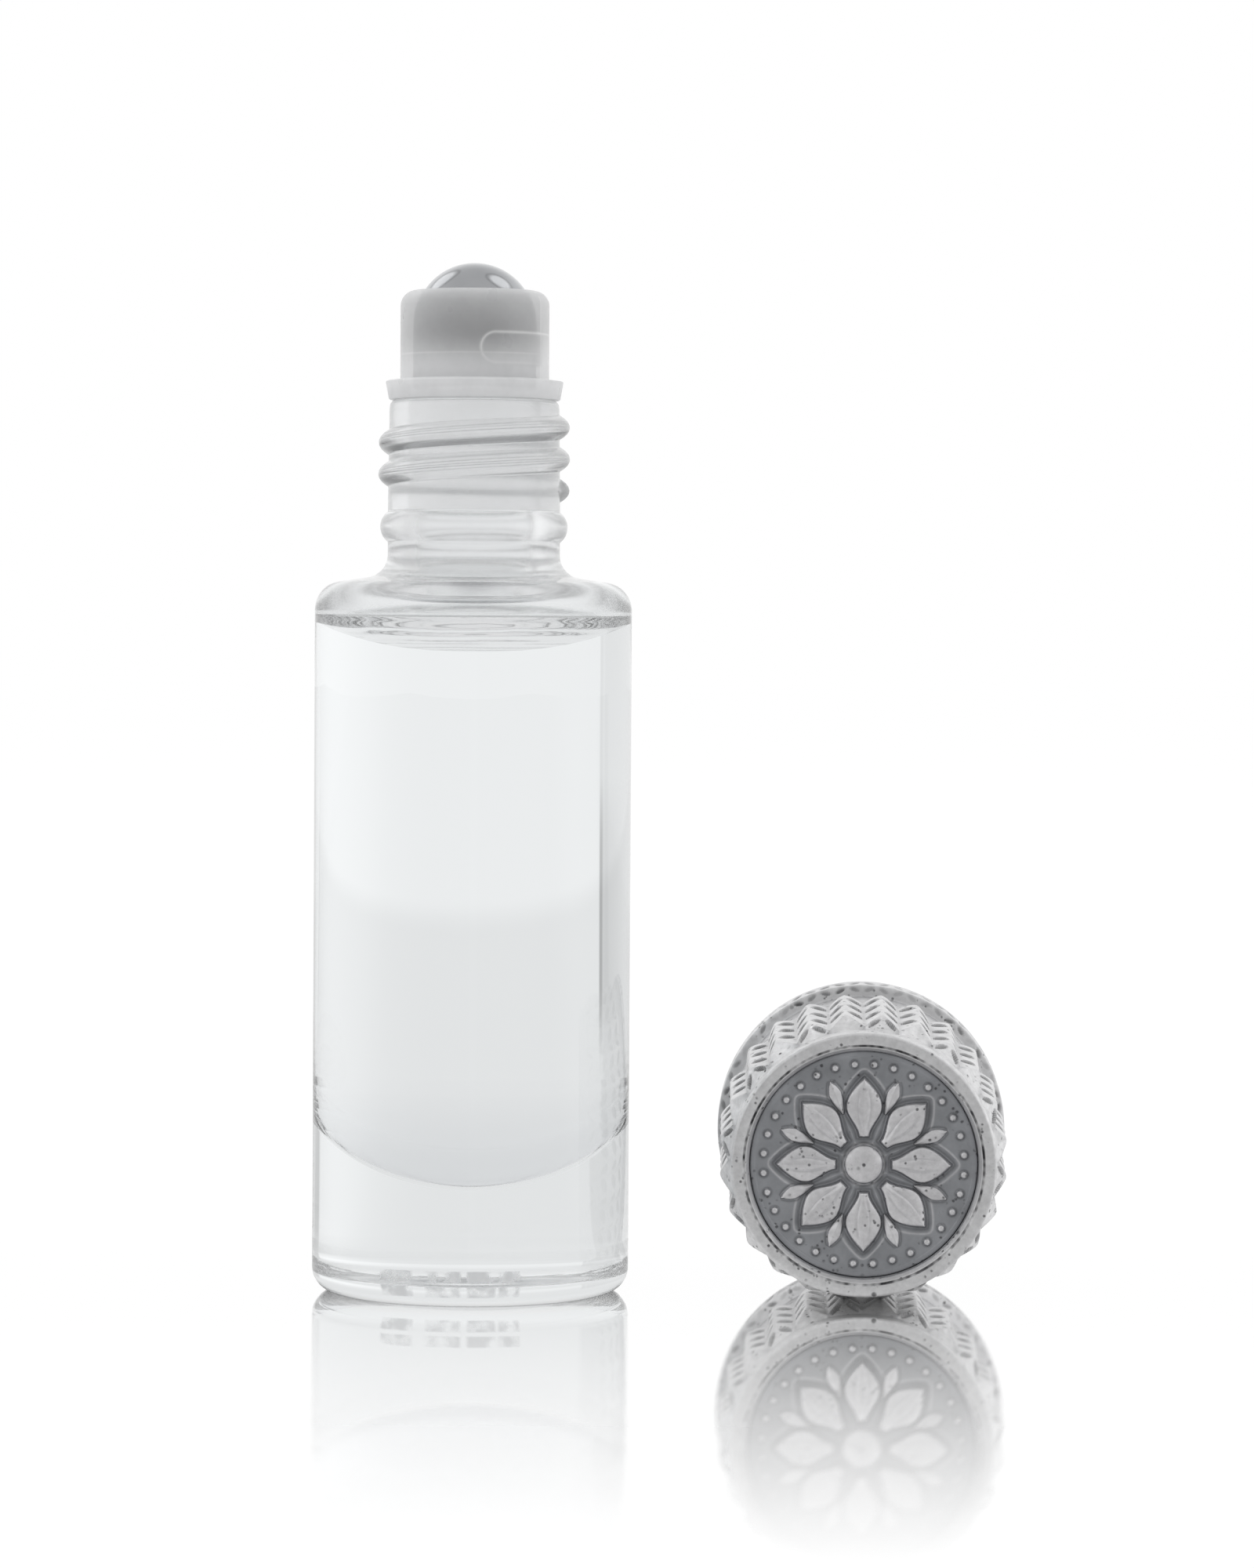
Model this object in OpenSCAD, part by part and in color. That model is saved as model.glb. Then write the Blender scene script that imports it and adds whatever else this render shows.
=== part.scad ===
// A roll-on bottle for perfume oil: a thick glass vial with a plugged-in roller,
// and its cast metal screw cap, taken off and lying on its side beside it.
// Millimetres. The origin is the centre of the bottle's foot, +Z is up.

/* [Glass body] */
// Outer diameter of the glass body
body_d = 21; // [18:0.5:26]
// Height of the body, from the foot to the edge of the shoulder
body_h = 47.05; // [36:0.05:70]
// Thickness of the glass around the cavity
body_wall = 2.2; // [1.6:0.1:3]
// Thickness of the glass under the cavity
base_t = 7; // [4:0.5:10]
// Height of the bowl at the bottom of the cavity
bowl_h = 8.2; // [2:0.2:9]
// Radius of the shoulder's outer edge
shoulder_r = 1.9; // [1:0.1:2.4]
// Radius of the foot's outer edge
foot_r = 1.6; // [0.8:0.1:2.4]
// Depth of the hollow under the foot
pushup_h = 0.4; // [0.3:0.1:1.2]

/* [Neck finish] */
// Diameter of the neck's wall, without the thread
neck_d = 11.4; // [11:0.1:11.8]
// Diameter of the neck at its lip
lip_d = 11.2; // [10.8:0.1:11.6]
// Diameter over the thread
thread_d = 12.75; // [12.4:0.05:13]
// Height of the neck above the shoulder's edge
neck_h = 12; // [11.5:0.1:14]
// Rise of the thread in one turn
thread_pitch = 2.1; // [1.9:0.1:2.3]
// Bore of the neck
bore_d = 7.6; // [7:0.1:8.2]
// Diameter of the bead below the thread
bead_d = 12.4; // [12:0.1:12.6]

/* [Roller] */
// Diameter of the steel ball
ball_d = 8; // [7.6:0.1:8.6]
// Wall of the cup that holds the ball
cup_wall = 0.84; // [0.6:0.02:1]
// Thickness of the flange that sits on the glass
flange_t = 1.25; // [0.9:0.05:1.6]
// Diameter of the flange
flange_d = 11.75; // [11.3:0.05:12]
// Length of the plug inside the neck
plug_len = 7.3; // [5:0.1:8]
// Height of the ball's top above the glass
ball_rise = 9.05; // [9:0.05:10]
// Running gap around the ball
ball_gap = 0.08; // [0.04:0.01:0.14]

/* [Contents] */
// Height of the liquid's edge, measured down from the cavity's ceiling
headspace = 0.8; // [0.8:0.05:4]
// Height that the liquid climbs at the glass
meniscus_h = 2.4; // [0.4:0.1:2.8]

/* [Cap] */
// Thickness of the metal around the liner, at the plain band
shell_wall = 1.6; // [1.3:0.05:2]
// Height of the rim at the cap's open end
rim_h = 3.2; // [2:0.1:4]
// How far the rim stands out of the plain band
rim_out = 0.77; // [0.4:0.01:1]
// Height of the plain band
band_h = 3.7; // [2:0.1:6]
// How far the ring at the closed end lies inside the plain band
ring_in = 0.42; // [0.2:0.02:0.7]
// Width of that ring, around the medallion
ring_w = 1.2; // [1:0.05:1.6]
// Height of the plain ring at the closed end
ring_h = 2.2; // [1.4:0.1:3]
// How far the plaited ribs stand out of the plain band at their rim end
rib_out_rim = 0.6; // [0.1:0.01:0.7]
// How far they stand out of it at their ring end
rib_out_ring = 0.375; // [0.1:0.005:0.5]
// Depth of the valleys between the ribs
rib_depth = 0.6; // [0.2:0.05:0.7]
// Depth of the slits in the ribs
slit_depth = 0.3; // [0.1:0.05:0.45]
// Number of ribs around the cap
rib_count = 24; // [16:4:32]
// Number of plaits along a rib
plait_count = 3; // [2:1:6]
// Wall of the threaded liner
liner_wall = 0.8; // [0.5:0.05:0.8]
// Thickness of the metal above the liner
top_plate_t = 0.45; // [0.4:0.05:1]
// Depth of the recess that holds the medallion
recess_h = 1.2; // [1.1:0.05:1.6]
// Number of petals on the medallion
petal_count = 8; // [6:1:10]

/* [Layout] */
// Gap between the bottle and the cap beside it
cap_gap = 6.2; // [2:0.1:20]
// Distance of the cap's face in front of the bottle's axis
cap_forward = 8.4; // [0:0.2:12]
// Turn of the cap on the table, in degrees
cap_yaw = 1.9; // [-10:0.1:10]

/* [Hidden] */

// Steps around a full circle, and along a rounded edge
round_fn = 96;
edge_steps = 6;
// One overrun serves every cut
over = 1;

// Clearances
liquid_gap = 0.02;
plug_gap = 0.03;
seat_gap = 0.03;
thread_gap = 0.25;
liner_gap = 0.04;
medallion_gap = 0.05;
closed_gap = 0.3;

// Glass body
body_r = body_d / 2;
shoulder_rise = 0.25;
shoulder_end_angle = 80;
neck_fillet = 1.5;
foot_ring_w = 1.3;
foot_slope_w = 1.4;
pushup_flat_share = 0.8;
cavity_r = body_r - body_wall;
ceiling_t = 1.45;
ceiling_corner = 0.8;
ceiling_z = body_h - ceiling_t;
throat_fillet = 1.4;
stipple_count = 36;
stipple_w = 0.4;
stipple_len = 1.3;
stipple_h = 0.12;
stipple_inset = 0.65;

// Neck finish
neck_r = neck_d / 2;
lip_r = lip_d / 2;
thread_r = thread_d / 2;
bore_r = bore_d / 2;
lip_z = body_h + neck_h;
lip_round = 0.45;
lip_chamfer = 0.3;
// The bead is an arc that stands out of the neck
bead_half = 1;
bead_up = 3.6;
bead_stand = bead_d / 2 - neck_r;
bead_arc_r = (bead_half * bead_half + bead_stand * bead_stand) / (2 * bead_stand);
bead_arc_a = asin(bead_half / bead_arc_r);
// The thread's first crest lies this far under the lip, at the right-hand side
thread_drop = 6.04;
thread_half = 0.8;
thread_turns = 2.25;
thread_start = -10;
thread_bite = 0.35;
thread_steps = 36;
thread_grow_share = 0.05;
thread_fade_share = 0.2;
thread_end_share = 0.12;
thread_z = lip_z - thread_drop;

// Roller
ball_r = ball_d / 2;
ball_z = lip_z + ball_rise - ball_r;
cup_bore_r = ball_r + ball_gap;
cup_r = cup_bore_r + cup_wall;
flange_r = flange_d / 2;
flange_draft = 0.2;
ball_show = 1.85;
cup_top_z = lip_z + ball_rise - ball_show;
cup_round = 1;
floor_t = 0.75;
floor_z = lip_z + floor_t;
plug_wall = 0.65;
plug_r = bore_r - plug_gap;
plug_rib_h = 0.6;
plug_rib_crest_h = 0.3;
plug_rib_rise = 0.2;
plug_rib_count = 3;
plug_core_r = plug_r - plug_rib_rise;
plug_bore_r = plug_core_r - plug_wall;
plug_end_z = lip_z - plug_len;
pocket_h = 2;
pocket_depth = 0.3;
pocket_up = 2.3;
pocket_start = -72;
pocket_sweep = 85;
pocket_end_share = 0.96;

// Seat under the ball
seat_r = cup_bore_r - seat_gap;
seat_drop = 2.1;
seat_z = floor_z + seat_gap;
seat_top_z = ball_z - seat_drop;
seat_hole_r = 1.5;
seat_slot_w = 0.8;
seat_slot_count = 3;
seat_slot_r = 2.6;

// Contents
liquid_edge_z = ceiling_z - headspace;
liquid_steps = 12;
liquid_curve = 2.6;

// Cap, in its own frame: its open end at zero, its face upwards
cap_seat_z = body_h + shoulder_rise + closed_gap;
liner_bore_r = thread_r + thread_gap;
liner_r = liner_bore_r + liner_wall;
liner_inset = 0.4;
liner_top_t = 0.45;
liner_tooth_h = 0.45;
liner_tooth_half = 0.36;
liner_turns = 1.75;
liner_lead = 180;
pad_back_t = 0.4;
pad_dimple = 0.4;
pad_gap = 0.04;
pad_t = pad_back_t + pad_dimple;
pad_r = liner_bore_r - pad_gap;
pad_z = lip_z + ball_rise - cap_seat_z - pad_dimple;
liner_ceiling_z = pad_z + pad_t + pad_gap;
liner_h = liner_ceiling_z + liner_top_t;
shell_bore_r = liner_r + liner_gap;
shell_plate_z = liner_h + liner_gap;
medallion_z = shell_plate_z + top_plate_t;
cap_len = medallion_z + recess_h;
band_r = shell_bore_r + shell_wall;
rim_r = band_r + rim_out;
rim_chamfer = 0.3;
ring_r = band_r - ring_in;
recess_r = ring_r - ring_w;
ring_chamfer = 0.25;
ribs_z0 = rim_h + band_h;
ribs_z1 = cap_len - ring_h;
rib_lean = 1;
rib_steps = 4;
rib_end_h = 2;
face_bevel = 0.36;
medallion_r = recess_r - medallion_gap;
medallion_t = 0.35;
relief_h = 0.6;
relief_wall_h = 0.15;
boss_r = 1.3;
boss_gap = 0.45;
petal_in = boss_r + boss_gap;
petal_edge = 1.6;
petal_out = medallion_r - petal_edge;
petal_w = 2.3;
petal_root_w = 0.8;
petal_wide_share = 0.66;
petal_points = 16;
dot_count = petal_count * 4;
dot_r = 0.26;
dot_sink = 0.04;
dot_inset = 0.85;

// Where the cap lies: on its rim and on the ends of two ribs
rim_contact_z = rim_h - rim_chamfer;
rib_contact_z = ribs_z1 - rib_end_h;
rib_contact_r = rib_top_r(rib_contact_z) * cos(180 / rib_count);
cap_tilt = atan((rim_r - rib_contact_r) / (rib_contact_z - rim_contact_z));
cap_rest_z = rim_r * cos(cap_tilt) + rim_contact_z * sin(cap_tilt);
cap_x = body_r + cap_gap + rim_r;
cap_y = cap_len * cos(cap_yaw) * cos(cap_tilt) - cap_forward;

// Points of an arc in the profile plane, around [x, z]
function arc(x, z, r, a0, a1) =
    [for (i = [0:edge_steps])
        let (a = a0 + (a1 - a0) * i / edge_steps) [x + r * cos(a), z + r * sin(a)]];

// Eases from 0 to 1
function ease(t) = t <= 0 ? 0 : t >= 1 ? 1 : t * t * (3 - 2 * t);

// Skins rings of points that all have the same count, with flat ends
function skin_faces(rings, size) = concat(
    [for (i = [0:rings - 2]) for (j = [0:size - 1])
        let (a = i * size + j, b = i * size + (j + 1) % size, c = a + size, d = b + size)
        each [[a, b, c], [b, d, c]]],
    [for (j = [1:size - 2]) [0, j + 1, j]],
    [for (j = [1:size - 2])
        let (last = (rings - 1) * size) [last, last + j, last + j + 1]]);

// A thread swept up a helix. The section's points are [out, up]; side is 1 for a thread
// that stands out of a neck and -1 for one that stands into a bore.
module thread_sweep(section, side, radius, z0, start, turns) {
    rings = ceil(turns * thread_steps) + 1;
    points = [for (i = [0:rings - 1])
        let (turned = turns * i / (rings - 1),
             rise = ease(turned / thread_grow_share) * ease((turns - turned) / thread_fade_share),
             grow = thread_end_share + (1 - thread_end_share) * rise,
             a = start + 360 * turned)
        for (p = section)
            let (out = radius + (p[0] * side > 0 ? p[0] * grow : p[0]))
            [out * cos(a), out * sin(a), z0 + thread_pitch * turned + p[1] * grow]];
    polyhedron(points, skin_faces(rings, len(section)), convexity = 8);
}

// Outer line of the glass, from the hollow under the foot up to the lip
function glass_outside() =
    let (ring_in = body_r - foot_r - foot_ring_w)
    concat(
        [[0, pushup_h], [ring_in - foot_slope_w, pushup_h * pushup_flat_share], [ring_in, 0]],
        arc(body_r - foot_r, foot_r, foot_r, -90, 0),
        arc(body_r - shoulder_r, body_h - shoulder_r, shoulder_r, 0, shoulder_end_angle),
        arc(neck_r + neck_fillet, body_h + shoulder_rise + neck_fillet, neck_fillet, 270, 180),
        arc(neck_r + bead_stand - bead_arc_r, body_h + bead_up, bead_arc_r, -bead_arc_a, bead_arc_a),
        arc(lip_r - lip_round, lip_z - lip_round, lip_round, 0, 90),
        [[bore_r + lip_chamfer, lip_z], [bore_r, lip_z - lip_chamfer]]);

// The bowl is a quarter of an ellipse
function bowl_line(r, z) =
    [for (i = [0:edge_steps * 2])
        let (a = 90 * i / (edge_steps * 2)) [r * cos(a), z + bowl_h * (1 - sin(a))]];

// Inner line of the glass, from the neck's bore down to the bottom of the bowl
function glass_inside() = concat(
    arc(bore_r + throat_fillet, ceiling_z + throat_fillet, throat_fillet, 180, 270),
    arc(cavity_r - ceiling_corner, ceiling_z - ceiling_corner, ceiling_corner, 90, 0),
    bowl_line(cavity_r, base_t));

// Section of the glass thread: rounded, its foot sunk into the neck
function glass_thread_section() =
    concat([[-thread_bite, -thread_half]],
        [for (i = [0:edge_steps])
            let (a = 180 * i / edge_steps - 90)
            [(thread_r - neck_r) * cos(a), thread_half * sin(a)]],
        [[-thread_bite, thread_half]]);

module glass_bottle() {
    color([0.86, 0.9, 0.92, 0.35]) {
        rotate_extrude($fn = round_fn) polygon(concat(glass_outside(), glass_inside()));
        thread_sweep(glass_thread_section(), 1, neck_r, thread_z, thread_start, thread_turns);
        foot_stipples();
    }
}

// Short bars moulded around the hollow under the foot
module foot_stipples() {
    hollow_r = body_r - foot_r - foot_ring_w - foot_slope_w;
    for (i = [0:stipple_count - 1])
        rotate(360 * i / stipple_count)
            translate([hollow_r - stipple_inset - stipple_len, -stipple_w / 2,
                pushup_h * pushup_flat_share - stipple_h])
                cube([stipple_len, stipple_w, pushup_h]);
}

module liquid_fill() {
    r = cavity_r - liquid_gap;
    top = [for (i = [0:liquid_steps])
        let (share = i / liquid_steps)
        [r * share, liquid_edge_z - meniscus_h * (1 - pow(share, liquid_curve))]];
    color([0.93, 0.94, 0.95, 0.4])
        rotate_extrude($fn = round_fn) polygon(concat(top, bowl_line(r, base_t + liquid_gap)));
}

module roller_housing() {
    cup_a = asin((cup_top_z - ball_z) / cup_bore_r);
    rib_step = plug_len / (plug_rib_count + 1);
    profile = concat(
        [[plug_bore_r, plug_end_z], [plug_core_r - plug_rib_rise, plug_end_z],
            [plug_core_r, plug_end_z + plug_rib_h]],
        [for (i = [1:plug_rib_count])
            let (z = plug_end_z + rib_step * i)
            each [[plug_core_r, z - plug_rib_h / 2], [plug_r, z - plug_rib_crest_h / 2],
                [plug_r, z + plug_rib_crest_h / 2], [plug_core_r, z + plug_rib_h / 2]]],
        [[plug_core_r, lip_z], [flange_r - flange_draft, lip_z], [flange_r, lip_z + flange_t],
            [cup_r, lip_z + flange_t]],
        arc(cup_r - cup_round, cup_top_z - cup_round, cup_round, 0, 90),
        [for (i = [0:edge_steps])
            let (a = cup_a * (1 - i / edge_steps))
            [cup_bore_r * cos(a), ball_z + cup_bore_r * sin(a)]],
        [[cup_bore_r, floor_z], [plug_bore_r, floor_z]]);
    color([0.8, 0.8, 0.81])
        difference() {
            rotate_extrude($fn = round_fn) polygon(profile);
            pocket();
        }
}

// Shallow pocket in the cup's wall, on the right of the front, its ends round
module pocket() {
    in_r = cup_bore_r - pocket_depth;
    z = lip_z + pocket_up;
    rotate(pocket_start)
        rotate_extrude(angle = pocket_sweep, $fn = round_fn)
            translate([in_r, z]) square([2 * pocket_depth, pocket_h]);
    for (a = [pocket_start, pocket_start + pocket_sweep])
        rotate(a) translate([in_r, 0, z + pocket_h / 2])
            rotate([0, 90, 0])
                cylinder(h = 2 * pocket_depth, r = pocket_end_share * pocket_h / 2, $fn = round_fn);
}

module ball_seat() {
    low_a = acos(seat_hole_r / cup_bore_r);
    top_a = asin((ball_z - seat_top_z) / cup_bore_r);
    profile = concat(
        [[seat_hole_r, seat_z], [seat_r, seat_z], [seat_r, seat_top_z]],
        [for (i = [0:edge_steps])
            let (a = top_a + (low_a - top_a) * i / edge_steps)
            [cup_bore_r * cos(a), ball_z - cup_bore_r * sin(a)]]);
    color([0.88, 0.88, 0.89])
        difference() {
            rotate_extrude($fn = round_fn) polygon(profile);
            for (i = [0:seat_slot_count - 1])
                rotate(360 * i / seat_slot_count)
                    translate([0, -seat_slot_w / 2, seat_z - over])
                        cube([seat_slot_r, seat_slot_w, ball_z - seat_z]);
        }
}

module roller_ball() {
    color([0.72, 0.73, 0.75])
        translate([0, 0, ball_z]) sphere(r = ball_r, $fn = round_fn);
}

// Place across one rib, from 0 in a valley over 1 at the crest to 0 again
function rib_share(step) = 1 - abs(step - rib_steps / 2) / (rib_steps / 2);

function rib_top_r(z) =
    let (share = (z - ribs_z0) / (ribs_z1 - ribs_z0))
    band_r + rib_out_rim + (rib_out_ring - rib_out_rim) * share;

// One ring of points through the ribs. It leans towards the rim at the crests, its
// height is 1 on a full rib and 0 on the plain band, and slit cuts into the flanks.
function rib_row(z, lean, height, slit) =
    [for (i = [0:rib_count - 1]) for (j = [0:rib_steps - 1])
        let (share = rib_share(j),
             a = 360 * (i + j / rib_steps) / rib_count,
             zz = z - lean * share,
             full_r = rib_top_r(zz) - rib_depth * (1 - share),
             cut = share > 0 && share < 1 ? slit * slit_depth : 0,
             r = band_r + (full_r - band_r) * height - cut)
        [r * cos(a), r * sin(a), zz]];

function plain_row(z, r) =
    [for (i = [0:rib_count * rib_steps - 1])
        let (a = 360 * i / (rib_count * rib_steps)) [r * cos(a), r * sin(a), z]];

// The whole outside of the shell, from the open end to the face
function shell_rows() =
    let (first = ribs_z0 + rib_lean,
         last = ribs_z1 - rib_end_h,
         pitch = (last - first) / plait_count)
    concat(
        [plain_row(0, rim_r - rim_chamfer), plain_row(rim_chamfer, rim_r),
            plain_row(rim_contact_z, rim_r), plain_row(rim_h, band_r),
            rib_row(first, rib_lean, 0, 0)],
        [for (i = [1:plait_count * 2 - 1])
            rib_row(first + pitch * i / 2, rib_lean, 1, 1 - i % 2)],
        [rib_row(last, 0, 1, 0),
            plain_row(ribs_z1, ring_r), plain_row(cap_len - ring_chamfer, ring_r),
            plain_row(cap_len, ring_r - ring_chamfer)]);

module shell_outside() {
    rows = shell_rows();
    size = rib_count * rib_steps;
    points = [for (row = rows) each row];
    polyhedron(points, skin_faces(len(rows), size), convexity = 10);
}

module cap_shell() {
    color([0.72, 0.72, 0.73]) on_its_side()
        difference() {
            shell_outside();
            translate([0, 0, -over])
                cylinder(h = shell_plate_z + over, r = shell_bore_r, $fn = round_fn);
            rotate_extrude($fn = round_fn)
                polygon([[0, medallion_z], [recess_r, medallion_z], [recess_r, cap_len - face_bevel],
                    [recess_r + face_bevel, cap_len], [recess_r + face_bevel, cap_len + over],
                    [0, cap_len + over]]);
        }
}

// Half the width of a petal, from its root at 0 to its round end at 1
function petal_half(t) =
    t < petal_wide_share
        ? (petal_root_w + (petal_w - petal_root_w) * ease(t / petal_wide_share)) / 2
        : petal_w / 2 * sqrt(max(0, 1 - pow((t - petal_wide_share) / (1 - petal_wide_share), 2)));

function petal_line() =
    concat(
        [for (i = [0:petal_points])
            let (t = sin(90 * i / petal_points)) [petal_in + (petal_out - petal_in) * t, -petal_half(t)]],
        [for (i = [petal_points - 1:-1:0])
            let (t = sin(90 * i / petal_points)) [petal_in + (petal_out - petal_in) * t, petal_half(t)]]);

// One petal with a rounded back, pointing along +X
module petal() {
    back_h = relief_h - relief_wall_h;
    back_r = (petal_w * petal_w / 4 + back_h * back_h) / (2 * back_h);
    intersection() {
        linear_extrude(height = medallion_t + relief_h + over) polygon(petal_line());
        translate([0, 0, medallion_t + relief_h - back_r])
            rotate([0, 90, 0]) cylinder(h = medallion_r, r = back_r, $fn = round_fn);
    }
}

// The plate and its domed boss are one turned shape
module medallion_plate() {
    dome_h = relief_h - relief_wall_h;
    dome_r = (boss_r * boss_r + dome_h * dome_h) / (2 * dome_h);
    dome_a = asin(boss_r / dome_r);
    top_z = medallion_t + relief_h;
    rotate_extrude($fn = round_fn)
        polygon(concat(
            [[0, 0], [medallion_r, 0], [medallion_r, medallion_t], [boss_r, medallion_t]],
            [for (i = [0:edge_steps])
                let (a = dome_a * (1 - i / edge_steps))
                [dome_r * sin(a), top_z - dome_r * (1 - cos(a))]]));
}

module cap_medallion() {
    color([0.55, 0.56, 0.58]) on_its_side() translate([0, 0, medallion_z]) {
        medallion_plate();
        for (i = [0:petal_count - 1])
            rotate(360 * i / petal_count) petal();
        for (i = [0:dot_count - 1])
            rotate(360 * (i + 1 / 2) / dot_count)
                translate([medallion_r - dot_inset, 0, medallion_t - dot_sink])
                    sphere(r = dot_r, $fn = round_fn / 4);
    }
}

// Section of the liner's thread: it stands inwards, its foot sunk into the wall
function liner_thread_section() =
    let (root_half = 2 * liner_tooth_half)
    [[thread_bite, -root_half], [thread_bite, root_half],
        [-liner_tooth_h, liner_tooth_half], [-liner_tooth_h, -liner_tooth_half]];

module cap_liner() {
    turn_z = thread_z - thread_pitch / 2 - cap_seat_z + thread_pitch * liner_lead / 360;
    color([0.9, 0.9, 0.88]) on_its_side() {
        difference() {
            translate([0, 0, liner_inset])
                cylinder(h = liner_h - liner_inset, r = liner_r, $fn = round_fn);
            translate([0, 0, -over])
                cylinder(h = liner_ceiling_z + over, r = liner_bore_r, $fn = round_fn);
        }
        thread_sweep(liner_thread_section(), -1, liner_bore_r, turn_z, thread_start + liner_lead,
            liner_turns);
    }
}

module cap_seal_pad() {
    color([0.95, 0.95, 0.94]) on_its_side()
        difference() {
            translate([0, 0, pad_z]) cylinder(h = pad_t, r = pad_r, $fn = round_fn);
            translate([0, 0, pad_z + pad_dimple - ball_r]) sphere(r = ball_r, $fn = round_fn);
        }
}

// Lays the cap on its side, face forwards, beside the bottle
module on_its_side() {
    translate([cap_x, cap_y, cap_rest_z])
        rotate([0, 0, -cap_yaw])
            rotate([90 + cap_tilt, 0, 0])
                children();
}

glass_bottle();
liquid_fill();
roller_housing();
ball_seat();
roller_ball();
cap_shell();
cap_medallion();
cap_liner();
cap_seal_pad();
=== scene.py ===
"""Looks for the roll-on bottle: clear glass, liquid, roller and a cast metal cap lying beside it.

Sizes of the pieces are in millimetres, as in the part's source, and become metres where a mesh
is made. The floor and the studio are in metres. Directions round an axis are typed in degrees,
and the front is at -90.
"""

import math

import bmesh
import bpy
import numpy as np
from mathutils import Matrix, Vector


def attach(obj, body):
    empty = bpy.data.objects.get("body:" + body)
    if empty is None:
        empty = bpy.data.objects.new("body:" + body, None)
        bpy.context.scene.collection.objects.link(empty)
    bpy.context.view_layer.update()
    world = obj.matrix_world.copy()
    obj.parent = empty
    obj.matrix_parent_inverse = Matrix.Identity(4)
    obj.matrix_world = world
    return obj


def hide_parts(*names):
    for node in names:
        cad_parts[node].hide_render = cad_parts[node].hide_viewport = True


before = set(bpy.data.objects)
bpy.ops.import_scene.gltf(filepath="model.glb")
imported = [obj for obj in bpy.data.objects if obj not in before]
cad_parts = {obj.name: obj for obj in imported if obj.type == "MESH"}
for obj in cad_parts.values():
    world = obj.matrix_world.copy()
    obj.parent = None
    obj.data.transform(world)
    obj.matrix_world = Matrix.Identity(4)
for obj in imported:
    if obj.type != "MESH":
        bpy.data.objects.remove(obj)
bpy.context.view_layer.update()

MM = 0.001
TURN = 2 * math.pi
WHITE = (1.0, 1.0, 1.0)

# Glass body
BODY_R = 10.5
BODY_H = 47.05
WALL = 2.2
BASE_T = 7.0
BOWL_H = 8.2
BOWL_STEPS = 32
SHOULDER_R = 1.9
SHOULDER_RISE = 0.25
SHOULDER_SLOPE = ((8.5, 0.036), (7.4, 0.2))  # radius and rise at both ends of the slope
FOOT_R = 1.6
FOOT_RING_W = 1.3
FOOT_RING_EDGE = (0.1, 0.03)
FOOT_SLOPE_W = 1.4
PUSHUP_H = 0.4
PUSHUP_EDGE_H = PUSHUP_H * 0.8
CAVITY_R = BODY_R - WALL
CEILING_Z = BODY_H - 1.45
CEILING_CORNER = 0.8
THROAT_FILLET = 1.4

# Short bars moulded under the foot: their number, half their share of a step, ring and depth
STIPPLES = 36
STIPPLE_HALF = 0.19
STIPPLE_RING = (4.25, 5.55)
STIPPLE_DEPTH = 0.12

# Two rows of frosted marks, left by the mould low on the front, by direction and height
HEEL_MARKS = ((-121.5, -109.6), (-104.3, -91.4), (-89.0, -79.8), (-77.6, -71.0))
HEEL_ROWS = ((0.7, 1.5), (1.72, 2.45))
HEEL_TOP_Z = 2.6

# Neck
NECK_R = 5.7
LIP_R = 5.6
NECK_FILLET = 1.5
BORE_R = 3.8
LIP_Z = BODY_H + 12.0
LIP_ROUND = 0.45
LIP_EDGE = ((0.3, 0.0), (0.06, 0.12), (0.0, 0.3))  # out from the bore and down from the lip
BEAD_R = 6.2
BEAD_HALF = 1.0
BEAD_Z = BODY_H + 3.6
THREAD_R = 6.375
THREAD_PITCH = 2.1
THREAD_HALF = 0.8
THREAD_START = -10.0
THREAD_TURNS = 2.25
THREAD_Z = LIP_Z - 6.04
THREAD_TIP = 0.12
THREAD_RUN_IN = 0.05
THREAD_RUN_OUT = 0.2
THREAD_ROUND = 0.9

# Liquid
LIQUID_GAP = 0.02
LIQUID_EDGE_Z = CEILING_Z - 0.8
MENISCUS_H = 2.4
MENISCUS_CURVE = 2.6
MENISCUS_STEPS = 40

# Roller
BALL_R = 4.0
BALL_Z = LIP_Z + 9.05 - BALL_R
CUP_BORE_R = BALL_R + 0.08
CUP_R = CUP_BORE_R + 0.84
CUP_TOP_Z = LIP_Z + 7.2
CUP_ROUND = 1.0
FLANGE_R = 5.875
FLANGE_T = 1.25
FLANGE_TOP_Z = LIP_Z + FLANGE_T
FLANGE_DRAFT = 0.2
FLOOR_Z = LIP_Z + 0.75
PLUG_END_Z = LIP_Z - 7.3
PLUG_LEAD = 0.6
PLUG_R = BORE_R - 0.03
PLUG_CORE_R = PLUG_R - 0.2
PLUG_BORE_R = PLUG_CORE_R - 0.65
PLUG_RIB_HALF = (0.3, 0.15)
POCKET_Z = (LIP_Z + 2.3, LIP_Z + 4.3)
POCKET_AZ = (-72.0, 13.0)
POCKET_DEPTH = 0.3
POCKET_SLOPE = 0.16

# What shows in the cup's wall: the ball's painted shade, and painted highlights along pocket, seat and
# mould line
SHADE = 0.7
SHADE_SIDES = 0.62
SHADE_Z = LIP_Z + 4.4
SHADE_UP = 2.9
SHADE_DOWN = 1.7
POCKET_LINE_W = 0.09
SEAT_TOP_Z = LIP_Z + 2.95
SEAT_LINE_W = 0.06
MOULD_AZ = -27.0
MOULD_LINE_W = 0.07

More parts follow.
